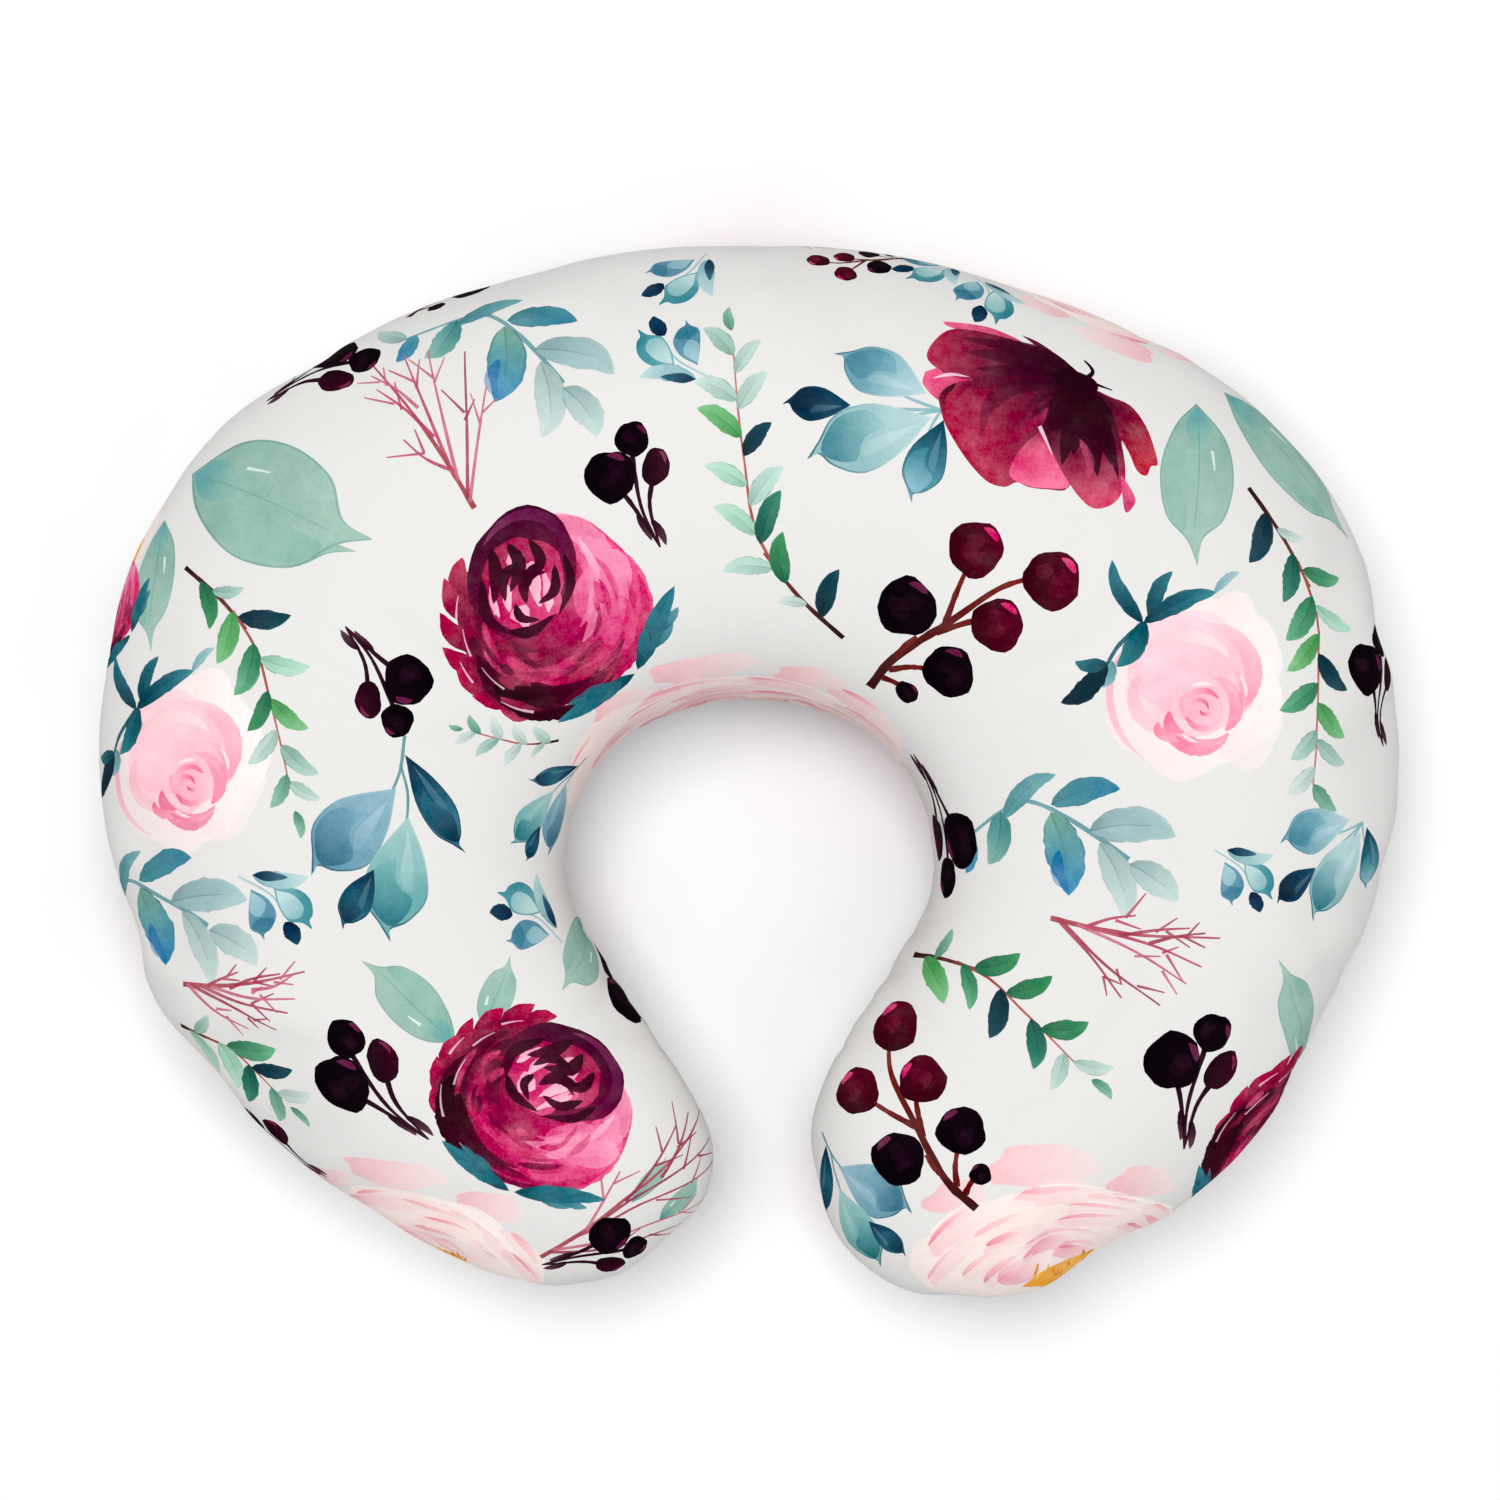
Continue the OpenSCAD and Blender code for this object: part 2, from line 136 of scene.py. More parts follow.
class Spokes:
    """Directions around the rim: crown point, unit vector, length, height share, lip, rib."""

    def __init__(self, n, fan):
        side = []
        for i in range(n + 1):
            s = OUT_LEN * i / n
            k = float(np.interp(s, stations, range(len(stations))))
            out = np.array(walk(0, OUTER, s)[:2])
            inn = np.array(walk(IN_Y, INNER, IN_LEN * i / n)[:2])
            side.append((s, k, out, inn))
        last = (side[-1][2] + side[-1][3]) / 2
        rows = []

        def add(crown, end, sign, share, lip, rib):
            v = end - crown
            length = np.hypot(*v)
            rows.append((sign * crown[0], crown[1] + SHIFT, sign * v[0] / length, v[1] / length,
                         length, share, lip, rib))

        def along(i, outer):
            s, k, out, inn = side[abs(i)]
            crown = (out + inn) / 2 + between_stations(k, CROWN_BENDS) * (TIP - last)
            share = 1 - (1 - TIP_SHARE) * between_stations(k, HEIGHT_FALLS)
            past = math.degrees(s / BACK_R) - LIP_ENDS[i > 0]
            lip = 1 - ease(past / LIP_FADE) if outer else 0
            add(crown, out if outer else inn, -1 if i < 0 else 1, share, lip, i + n)

        def around_tip(k, sign, rib):
            end = np.array(follow(*tip_start, TIP_R, TIP_TURN * k / fan)[:2])
            add(TIP, end, sign, TIP_SHARE, 0, rib)

        for i in range(-n, n + 1):
            along(i, True)
        for k in range(1, fan):
            around_tip(k, 1, 2 * n)
        for i in range(n, -n - 1, -1):
            along(i, False)
        for k in range(fan - 1, 0, -1):
            around_tip(k, -1, 0)
        a = np.array(rows)
        self.crown, self.dir, self.w, self.share, self.lip = a[:, :2], a[:, 2:4], *a[:, 4:7].T
        self.rib = a[:, 7].astype(int)
        self.count, self.ribs = len(a), 2 * n + 1
        self.ribs_crown, self.ribs_share = self.crown[:self.ribs], self.share[:self.ribs]


def section(sp, upper, depth=0.0, extra=0.0, inset=SEAM_INSET, edge=0.15):
    """Radius, height and arc length of each row of each spoke, from the crown to the seam."""
    # phi runs from the crown out to the widest level, and psi round the edge to the seam
    phi = np.radians(np.linspace(0, 90, 61))
    psi = np.radians(np.linspace(0, ROUND_ANGLE, 13)[1:])
    sin, cos = np.sin(phi), np.cos(phi)
    top = math.radians(ROUND_ANGLE)
    inward, outward = (1 - np.cos(psi)) / (1 - math.cos(top)), np.sin(psi) / math.sin(top)
    w = (sp.w - (0 if upper else LOW_INSET) - depth)[:, None]
    r = (w - extra * sin ** 4) * sin ** FULLNESS
    if upper:
        z = WIDE_Z + ((HEIGHT - WIDE_Z) * sp.share - depth)[:, None] * cos ** FULLNESS
    else:
        z = np.maximum(depth, LOW_Z - (LOW_Z + FLAT_DEPTH - depth) * cos ** FULLNESS) + 0 * w
    opening = sp.lip * (LIP - edge if inset == SEAM_INSET else 0)
    rim = SEAM_Z + (1 if upper else -1) * (edge + opening)
    r0, z0 = r[:, -1:], z[:, -1:]
    r = np.hstack([r, r0 + ((sp.w - inset)[:, None] - r0) * inward])
    z = np.hstack([z, z0 + (rim[:, None] - z0) * outward])
    step = np.hypot(np.diff(r, axis=1), np.diff(z, axis=1))
    run = np.hstack([np.zeros((sp.count, 1)), np.cumsum(step, axis=1)])
    total = run[:, -1:]
    want = np.hstack([(total - EDGE_ROWS[0]) * np.arange(1, ROWS + 1) / ROWS] +
                     [total - t for t in EDGE_ROWS[1:]])
    out = np.array([[np.interp(x, run[q], v[q]) for v in (r, z)] for q, x in enumerate(want)])
    return out[:, 0], out[:, 1], want


def grid_faces(m, base=0):
    """Faces between the spokes' m rows, counter-clockwise from above; the crowns come first."""
    faces, half = [], []
    for q in range(sp.count):
        p = (q + 1) % sp.count
        a, b = base + sp.ribs + q * m, base + sp.ribs + p * m
        ca, cb = base + sp.rib[q], base + sp.rib[p]
        right = sp.crown[q][0] + sp.crown[p][0] + sp.dir[q][0] * 1e-3 > 0
        faces.append((ca, b, a) if ca == cb else (ca, cb, b, a))
        faces += [(a + j, b + j, b + j + 1, a + j + 1) for j in range(m - 1)]
        half += [right] * m
    return faces, half


def flipped(faces):
    """The faces turned to their other side."""
    return [tuple(reversed(f)) for f in faces]


def rim_faces(m, base):
    """Faces that join the last rows of two such grids, the second one's points starting at base."""
    last = [sp.ribs + q * m + m - 1 for q in range(sp.count)]
    return [(a, b, base + b, base + a) for a, b in zip(last, last[1:] + last[:1])]


def new_object(name, verts, faces, material=None, smooth=True):
    """A mesh object in the scene."""
    me = bpy.data.meshes.new(name)
    me.from_pydata([tuple(v) for v in verts], [], [tuple(f) for f in faces])
    if smooth:
        me.polygons.foreach_set("use_smooth", [True] * len(me.polygons))
    if material:
        me.materials.append(material)
    return add_object(name, me)


def add_object(name, data):
    """Links new data to the scene."""
    ob = bpy.data.objects.new(name, data)
    scene.collection.objects.link(ob)
    return ob


def read(me, what="co"):
    """One vector of each of the mesh's points."""
    a = np.zeros(len(me.vertices) * 3, np.float32)
    me.vertices.foreach_get(what, a)
    return a.reshape(-1, 3).astype(float)


def drop(ob):
    """Removes a scratch object and its mesh."""
    me = ob.data
    bpy.data.objects.remove(ob)
    if not me.users:
        bpy.data.meshes.remove(me)


# ---------------------------------------------------------------- the stuffed form
sp = Spokes(N_SIDE, N_FAN)


def layer(is_upper, **kw):
    """Crown points, rows of points and the flat pattern of one surface."""
    r, z, run = section(sp, is_upper, **kw)
    depth = kw.get("depth", 0.0)
    top = WIDE_Z + (HEIGHT - WIDE_Z) * sp.ribs_share - depth if is_upper else np.full(sp.ribs, depth)
    xy = sp.crown[:, None] + sp.dir[:, None] * r[..., None]
    flat = sp.crown[:, None] + sp.dir[:, None] * run[..., None]
    return np.column_stack([sp.ribs_crown, top]), np.dstack([xy, z]), flat


def stacked(*surfaces):
    """Every point of the surfaces in one list."""
    return np.vstack([p for s in surfaces for p in (s[0], s[1].reshape(-1, 3))])


CLOTH = dict(quality=6, mass=0.25, tension_stiffness=25, compression_stiffness=25, shear_stiffness=8,
             bending_stiffness=0.08, air_damping=3, use_pressure=True, uniform_pressure_force=3.0,
             vertex_group_mass="pin", vertex_group_shrink="gather", shrink_min=-0.035, shrink_max=0.03)
CLOTH_FRAMES = 22
SEAM_HOLD = 0.25


def inflate(upper, lower):
    """Cloth under pressure between the two panels: returns how far each point moves."""
    m = upper[1].shape[1]
    verts = stacked(upper, lower)
    base = len(verts) // 2
    faces = grid_faces(m)[0] + flipped(grid_faces(m, base)[0]) + rim_faces(m, base)
    ob = new_object("form", verts * MM, faces)
    seam, pin = np.zeros(len(verts)), np.zeros(len(verts))
    for side in (0, base):
        for q in range(sp.count):
            end = side + sp.ribs + (q + 1) * m
            seam[end - 3:end] = 1
            pin[end - 3:end - 1] = sp.lip[q]
            pin[end - 1] = max(sp.lip[q], SEAM_HOLD)
    for name, weights in (("pin", pin), ("gather", seam)):
        group = ob.vertex_groups.new(name=name)
        for i in np.nonzero(weights)[0]:
            group.add([int(i)], float(weights[i]), "REPLACE")
    mod = ob.modifiers.new("Cloth", "CLOTH")
    for key, value in CLOTH.items():
        setattr(mod.settings, key, value)
    mod.settings.effector_weights.gravity = 0
    mod.collision_settings.use_collision = False
    mod.point_cache.frame_start, mod.point_cache.frame_end = 1, CLOTH_FRAMES + 2
    for f in range(1, CLOTH_FRAMES + 1):
        scene.frame_set(f)
    dg = bpy.context.evaluated_depsgraph_get()
    moved = read(ob.evaluated_get(dg).data) / MM - verts
    scene.frame_set(1)
    drop(ob)
    return moved[:base], moved[base:]


def smooth_grid(d, across, along):
    """Box filter of a (spoke, row) field, twice, wrapping around the rim."""
    for _ in range(2):
        d = sum(np.roll(d, i, axis=0) for i in range(-across, across + 1)) / (2 * across + 1)
        pad = np.pad(d, ((0, 0), (along, along), (0, 0)), mode="edge")
        d = sum(pad[:, i:i + d.shape[1]] for i in range(2 * along + 1)) / (2 * along + 1)
    return d


def limited(d, gain, most):
    """The vectors times gain, none longer than most."""
    size = np.linalg.norm(d, axis=2, keepdims=True) * gain
    return d * gain * np.minimum(1, most / np.maximum(size, 1e-6))


MOST_WRINKLE, MOST_SWELL, SWELL_SHARE, CROWN_MOVE = 3.0, 2.0, 0.3, 1.5


def settle(panel, moved):
    """Adds the simulated wrinkles to a panel, keeping its outline and its size."""
    crown, rows, flat = panel
    if moved is None:
        return crown.copy(), rows.copy(), flat
    d = moved[sp.ribs:].reshape(rows.shape)
    low = smooth_grid(d, 4, 2)
    moves = limited(d - low, 1.0, MOST_WRINKLE) + limited(low, SWELL_SHARE, MOST_SWELL)
    free = np.maximum((1 - sp.lip)[:, None, None], np.linspace(1, 0, ROWS_ALL)[None, :, None])
    crown = crown + np.clip(moved[:sp.ribs] * SWELL_SHARE, -CROWN_MOVE, CROWN_MOVE)
    return crown, rows + moves * free, flat


plain = layer(True, edge=1.0), layer(False, edge=1.0)
ROWS_ALL = plain[0][1].shape[1]
pushed = inflate(*plain)
upper, lower = (settle(panel, moved) for panel, moved in zip(plain, pushed))
WRINKLES = [(new[0] - old[0], new[1] - old[1]) for new, old in zip((upper, lower), plain)]


def close_seam():
    """Brings the two seam rows together, and lays the underside flat on its table."""
    middle = (upper[1][:, -1] + lower[1][:, -1]) / 2
    gap = SEAM_GAP + sp.lip * (LIP - SEAM_GAP)
    for (_, rows, _), sign in ((upper, 1), (lower, -1)):
        rows[:, -1] = middle
        rows[:, -1, 2] = SEAM_Z + sign * gap
        rows[:, -2, 2] += NEXT_PULL * (SEAM_Z + sign * (gap + NEXT_GAP) - rows[:, -2, 2])
    lower[1][..., 2] = np.maximum(lower[1][..., 2], 0)
    lower[0][:, 2] = 0


def sway(points):
    """Points moved with the left arm's end, which lies turned inwards, and with the rim's dents."""
    points = np.array(points, float)
    y = points[..., 1].copy()
    left = points[..., 0] < 0
    for axis, (move, start, run) in enumerate(SWAY):
        points[..., axis] += left * move * ease((start - y) / run)
    for x, y, deep in DENTS:
        into = np.array([math.copysign(TIP[0], x) - x, TIP[1] + SHIFT - y])
        share = np.exp(-((points[..., :2] - (x, y)) ** 2).sum(-1) / DENT_SPREAD)
        points[..., :2] += deep * share[..., None] * into / np.hypot(*into)
    return points


close_seam()
upper, lower = ((sway(crown), sway(rows), flat) for crown, rows, flat in (upper, lower))


def with_fold(panel):
    """Adds the raw edge that folds inwards behind the seam."""
    crown, rows, flat = panel
    for f in FOLD_ROWS:
        e = rows[:, [ROWS_ALL - 1]].copy()
        e[..., :2] -= sp.dir[:, None] * f
        rows = np.hstack([rows, e])
        flat = np.hstack([flat, flat[:, [ROWS_ALL - 1]] + sp.dir[:, None] * f])
    return crown, rows, flat


def outline_loop(polys):
    """The points around the polygons' outer edge, in order."""
    edges = {}
    for p in polys:
        for a, b in zip(p, p[1:] + p[:1]):
            if (b, a) in edges:
                del edges[b, a]
            else:
                edges[a, b] = True
    after = dict(edges.keys())
    start = min(after)
    loop, at = [start], after[start]
    while at != start:
        loop.append(at)
        at = after[at]
    return loop


LEAST_FACING = 0.02


class Panel:
    """A smooth panel with its flat pattern, where points of the pattern can be looked up."""

    def __init__(self, panel, is_upper):
        crown, rows, flat = with_fold(panel)
        m = rows.shape[1]
        self.upper = is_upper
        faces, half = grid_faces(m)
        if not is_upper:
            faces = flipped(faces)
        pattern = np.vstack([sp.ribs_crown, flat.reshape(-1, 2)])
        self.flat, _, _ = self.smooth(np.column_stack([pattern, np.zeros(len(pattern))]), faces)
        self.solid, self.normal, polys = self.smooth(stacked((crown, rows)), faces)
        # one level of subdivision makes as many quads of a face as it has corners
        flags = [h for f, h in zip(faces, half) for _ in f]
        self.trees, self.loops, self.tris = [], [], []
        for side in (False, True):
            mine = [p for p, h in zip(polys, flags) if h == side]
            tris = [t for p in mine for t in ((p[0], p[1], p[2]), (p[0], p[2], p[3]))]
            self.tris.append(np.array(tris))
            self.trees.append(BVHTree.FromPolygons([Vector(v) for v in self.flat], tris))
            self.loops.append(outline_loop(mine))
        self.look_from_camera()

    @staticmethod
    def smooth(verts, faces):
        """Points, normals and polygons of a once-subdivided mesh."""
        ob = new_object("panel", verts, faces)
        mod = ob.modifiers.new("Smooth", "SUBSURF")
        mod.levels = mod.render_levels = 1
        smoothed = ob.evaluated_get(bpy.context.evaluated_depsgraph_get())
        me = smoothed.to_mesh()
        found = read(me), read(me, "normal"), [tuple(p.vertices) for p in me.polygons]
        smoothed.to_mesh_clear()
        drop(ob)
        return found

    def look_from_camera(self):
        """Keeps the faces that the camera over the pillow sees, and their points as it sees them."""
        away = CAMERA_UP / (CAMERA_UP - (self.solid[:, 2:] - WIDE_Z) * MM)
        self.seen = CENTRE + (self.solid[:, :2] - CENTRE) * (away if self.upper else 1)
        points = [Vector((*v, 0)) for v in self.seen]
        self.view = []
        for tris in self.tris:
            facing = self.normal[tris][:, :, 2].mean(1) * (1 if self.upper else -1)
            keep = tris[facing > LEAST_FACING]
            self.view.append((keep, BVHTree.FromPolygons(points, [tuple(t) for t in keep])))

    def look(self, side, points):
        """Positions and normals on the panel for points of the flat pattern's left or right half."""
        tree, tris = self.trees[side], self.tris[side]
        hits = [tree.find_nearest((p[0], p[1], 0.0)) for p in points]
        t = tris[[hit[2] for hit in hits]]
        spot = np.array([hit[0][:2] for hit in hits])
        a, b, c = (self.flat[t[:, k]][:, :2] for k in range(3))
        v0, v1, v2 = b - a, c - a, spot - a
        area = v0[:, 0] * v1[:, 1] - v1[:, 0] * v0[:, 1]
        area = np.where(np.abs(area) < 1e-12, 1e-12, area)
        u = np.clip((v2[:, 0] * v1[:, 1] - v1[:, 0] * v2[:, 1]) / area, 0, 1)
        v = np.clip((v0[:, 0] * v2[:, 1] - v2[:, 0] * v0[:, 1]) / area, 0, 1)
        share = np.stack([1 - u - v, u, v], 1)[..., None]
        return (self.solid[t] * share).sum(1), unit((self.normal[t] * share).sum(1))

    def spot(self, x, y):
        """The flat pattern's point that the camera over the pillow sees at (x, y)."""
        keep, tree = self.view[int(x > 0)]
        hit = tree.find_nearest((x, y, 0.0))
        t = keep[hit[2]]
        a, b, c = self.seen[t]
        u, v = np.linalg.solve(np.array([b - a, c - a]).T, np.array(hit[0][:2]) - a)
        fa, fb, fc = self.flat[t][:, :2]
        return fa + (fb - fa) * u + (fc - fa) * v


# ---------------------------------------------------------------- watercolour print
def unit(v):
    """The vectors at length 1."""
    return v / np.maximum(np.linalg.norm(v, axis=1, keepdims=True), TINY)


def turned(degrees):
    """The matrix that turns points anticlockwise."""
    a = math.radians(degrees)
    return np.array([[math.cos(a), -math.sin(a)], [math.sin(a), math.cos(a)]])


def rgb(code):
    """Red, green and blue from 0 to 1."""
    return np.array([int(code[i:i + 2], 16) / 255 for i in (0, 2, 4)])


def shaded(code, share):
    """The colour's code with its light cut down to a share."""
    return "".join("%02x" % int(v * 255 * share) for v in rgb(code))


def curve(points, n=6):
    """A smooth line through a few points."""
    p = np.array(points, float)
    p = np.vstack([2 * p[0] - p[1], p, 2 * p[-1] - p[-2]])
    out = []
    for i in range(1, len(p) - 2):
        for t in np.arange(n) / n:
            out.append(0.5 * (2 * p[i] + (p[i + 1] - p[i - 1]) * t
                              + (2 * p[i - 1] - 5 * p[i] + 4 * p[i + 1] - p[i + 2]) * t * t
                              + (3 * p[i] - p[i - 1] - 3 * p[i + 1] + p[i + 2]) * t ** 3))
    return np.array(out + [p[-2]])


def beside(line):
    """Unit vectors to the left of each point of a line."""
    d = unit(np.gradient(line, axis=0))
    return np.column_stack([-d[:, 1], d[:, 0]])


def swelling(n):
    """Half widths of a brush mark that is thin at both ends."""
    return np.sin(np.pi * np.linspace(0, 1, n) ** 0.85) ** 0.75 / 2


class Print:
    """Painted shapes on the flat pattern, first ones lowest."""

    def __init__(self, panel, seed):
        self.panel, self.rng = panel, random.Random(seed)
        self.shapes = []

    def place(self, x, y, turn=0, size=1.0, flip=False, flat=None):
        """Sets where the next motif goes, as the camera sees it or as a point of the flat pattern."""
        self.origin = self.panel.spot(x, y) if flat is None else np.array(flat, float)
        self.side = int(x > 0)
        self.matrix = turned(turn) * size @ np.diag([-1 if flip else 1, 1])

    def to_flat(self, pts):
        """The motif's points on the flat pattern."""
        return np.asarray(pts, float) @ self.matrix.T + self.origin

    def fill(self, pts, c0, c1=None, a0=1.0, a1=None, p0=None, p1=None):
        """A patch of paint whose colour and cover change from p0 to p1."""
        pts = self.to_flat(pts)
        p0 = self.to_flat([p0])[0] if p0 is not None else pts[0]
        p1 = self.to_flat([p1])[0] if p1 is not None else pts[len(pts) // 2]
        self.shapes.append((pts, p0, p1, rgb(c0), rgb(c1 or c0), a0, a0 if a1 is None else a1,
                            self.side))

    def rough(self, line, share):
        """A factor for each point of a line, to roughen its edge."""
        return 1 + share * np.array([self.rng.uniform(-1, 1) for _ in line])

    def stroke(self, points, w0, w1, c0, c1=None, a0=1.0, a1=None, n=6):
        """A tapering brush line."""
        line = curve(points, n)
        off = beside(line) * (np.linspace(w0, w1, len(line)) / 2 * self.rough(line, 0.12))[:, None]
        self.fill(np.vstack([line + off, (line - off)[::-1]]), c0, c1, a0, a1, line[0], line[-1])

    def swell(self, points, w, c0, c1=None, a0=1.0, a1=None, n=6, lean=0.0):
        """A brush mark that is thin at both ends and w wide between them."""
        line = curve(points, n)
        off = beside(line) * (swelling(len(line)) * w * self.rough(line, 0.08))[:, None]
        pts = np.vstack([line + off * (1 + lean), (line - off * (1 - lean))[::-1][1:-1]])
        self.fill(pts, c0, c1, a0, a1, line[0], line[-1])

    def blob(self, x, y, rx, ry, turn=0, wobble=0.06, c0="ffffff", c1=None, a0=1.0, a1=None,
             n=22, lobes=3, p0=None, p1=None):
        """A wobbly round of paint."""
        t = np.linspace(0, 2 * np.pi, n, endpoint=False)
        waves = ((lobes, 1), (lobes + 2, 0.6), (7, 0.35), (11, 0.25))
        k = 1 + wobble * sum(w * np.sin(f * t + self.rng.uniform(0, 6.28)) for f, w in waves)
        pts = np.column_stack([rx * k * np.cos(t), ry * k * np.sin(t)]) @ turned(turn).T + (x, y)
        self.fill(pts, c0, c1, a0, a1, p0 or (x - rx, y), p1 or (x + rx, y))

    def leaf(self, x, y, turn, length, width, c0, c1, alpha=0.9, bend=0.12, shade=0.35, vein=True,
             rim=True):
        """One leaf from its stalk end at (x, y), with a pigment edge, a darker half and a vein."""
        d, s = turned(turn).T
        base = np.array([x, y], float)
        k = self.rng.uniform(0.7, 1.3) * bend * length
        mid = [base, base + d * length * 0.35 + s * k * 0.8, base + d * length * 0.7 + s * k,
               base + d * length]
        dark = shaded(c0, 0.72)
        if rim:
            self.swell(mid, width, dark, c1, alpha, alpha * 0.9, 5)
            self.swell([base + (p - base) * 0.985 for p in mid], width * 0.9, c0, c1, alpha, alpha, 5)
        else:
            self.swell(mid, width, c0, c1, alpha, alpha * 0.8, 5)
        if shade:
            line = curve(mid, 5)
            edge = line + beside(line) * (swelling(len(line)) * 0.86 * width)[:, None]
            self.fill(np.vstack([line, edge[::-1][1:-1]]), dark, c0, shade, shade * 0.4, base, mid[-1])
        if vein:
            self.stroke(mid[:3], width * 0.06, width * 0.02, dark, None, 0.5, n=4)


def winds(p, points):
    """Which of the points the polygon runs around."""
    q = np.roll(p, -1, axis=0)
    y, x = points[:, 1:], points[:, :1]
    side = (q[:, 0] - p[:, 0]) * (y - p[:, 1]) - (x - p[:, 0]) * (q[:, 1] - p[:, 1])
    up = (p[:, 1] <= y) & (q[:, 1] > y) & (side > 0)
    down = (p[:, 1] > y) & (q[:, 1] <= y) & (side < 0)
    return up.sum(1) != down.sum(1)


def upright(p):
    """The polygon run counter-clockwise."""
    x, y = p[:, 0], p[:, 1]
    return p if (x * np.roll(y, -1) - np.roll(x, -1) * y).sum() > 0 else p[::-1]


GRID_SPACING, ROW_SHARE = 3.4, 0.866
# above this y the two halves of the pattern share their motifs across the middle line
SHARED_Y = -20


def cut(loop, polygons):
    """Points and triangles of the pattern inside the loop, cut along the polygons' edges."""
    lo, hi = loop.min(0), loop.max(0)
    gx, gy = np.meshgrid(np.arange(lo[0], hi[0], GRID_SPACING),
                         np.arange(lo[1], hi[1], GRID_SPACING * ROW_SHARE))
    gx = gx + (np.arange(gx.shape[0]) % 2)[:, None] * GRID_SPACING / 2
    rings = [upright(loop)] + [upright(p) for p in polygons]
    ends = np.cumsum([len(p) for p in rings])
    faces = [list(range(end - len(p), end)) for p, end in zip(rings, ends)]
    every = np.vstack(rings + [np.column_stack([gx.ravel(), gy.ravel()])])
    out = delaunay_2d_cdt([Vector(p) for p in every], [], faces, 0, 1e-5, True)
    points, triangles, origin = out[0], out[2], out[5]
    t = np.array([face for face, ids in zip(triangles, origin) if 0 in ids])
    keep, index = np.unique(t, return_inverse=True)
    return np.array([points[k][:] for k in keep]), index.reshape(t.shape)


def tint(shapes, corner, base):
    """The colour and cover of every triangle corner under the painted shapes."""
    middle = corner.mean(1)
    order = np.argsort(middle[:, 0])
    along = middle[order, 0]
    col = np.tile(np.append(base, 0.0), (len(corner), 3, 1))
    for p, p0, p1, c0, c1, a0, a1, _ in shapes:
        near = order[np.searchsorted(along, p[:, 0].min()):np.searchsorted(along, p[:, 0].max())]
        near = near[(middle[near, 1] > p[:, 1].min()) & (middle[near, 1] < p[:, 1].max())]
        at = near[winds(p, middle[near])]
        d = p1 - p0
        s = np.clip(((corner[at] - p0) @ d) / max(d @ d, TINY), 0, 1)[..., None]
        a = a0 + (a1 - a0) * s
        col[at, :, :3] = col[at, :, :3] * (1 - a) + (c0 + (c1 - c0) * s) * a
        col[at, :, 3:] = 1 - (1 - col[at, :, 3:]) * (1 - a)
    return col


def paint(panel, art, base):
    """Turns the painted shapes into a mesh of the panel, with the colours on its corners."""
    verts, norms, tris, colours = [], [], [], []
    for side in (0, 1):
        loop = panel.flat[panel.loops[side]][:, :2]
        lo, hi = loop.min(0), loop.max(0)
        used = [s for s in art.shapes
                if not ((s[0].max(0) < lo).any() or (s[0].min(0) > hi).any())
                and (s[7] == side or s[0][:, 1].mean() >= SHARED_Y)]
        flat, t = cut(loop, [s[0] for s in used])
        pos, nor = panel.look(side, flat)
        col = tint(used, flat[t], base)
        if not panel.upper:
            t, col = t[:, ::-1], col[:, ::-1]
        tris.append(t + sum(len(v) for v in verts))
        verts.append(pos)
        norms.append(nor)
        colours.append(col)
    return tuple(np.vstack(v) for v in (verts, norms, tris, colours))


def to_linear(c):
    """Screen colours as amounts of light."""
    return np.where(c <= 0.04045, c / 12.92, ((c + 0.055) / 1.055) ** 2.4)


# ---------------------------------------------------------------- motifs, in millimetres
def arc(cx, cy, rx, ry, a, b, n=6, tilt=0.0):
    """Points of an elliptical arc."""
    t = np.radians(np.linspace(a, b, n))
    return np.column_stack([rx * np.cos(t), ry * np.sin(t)]) @ turned(tilt).T + (cx, cy)


def ray(degrees):
    """The unit vector at an angle."""
    return turned(degrees)[:, 0]


def rings(p, *marks):
    """Brush marks along elliptical arcs: each is an arc's measures and then its mark's."""
    for measures, *mark in marks:
        p.swell(arc(*measures), *mark)


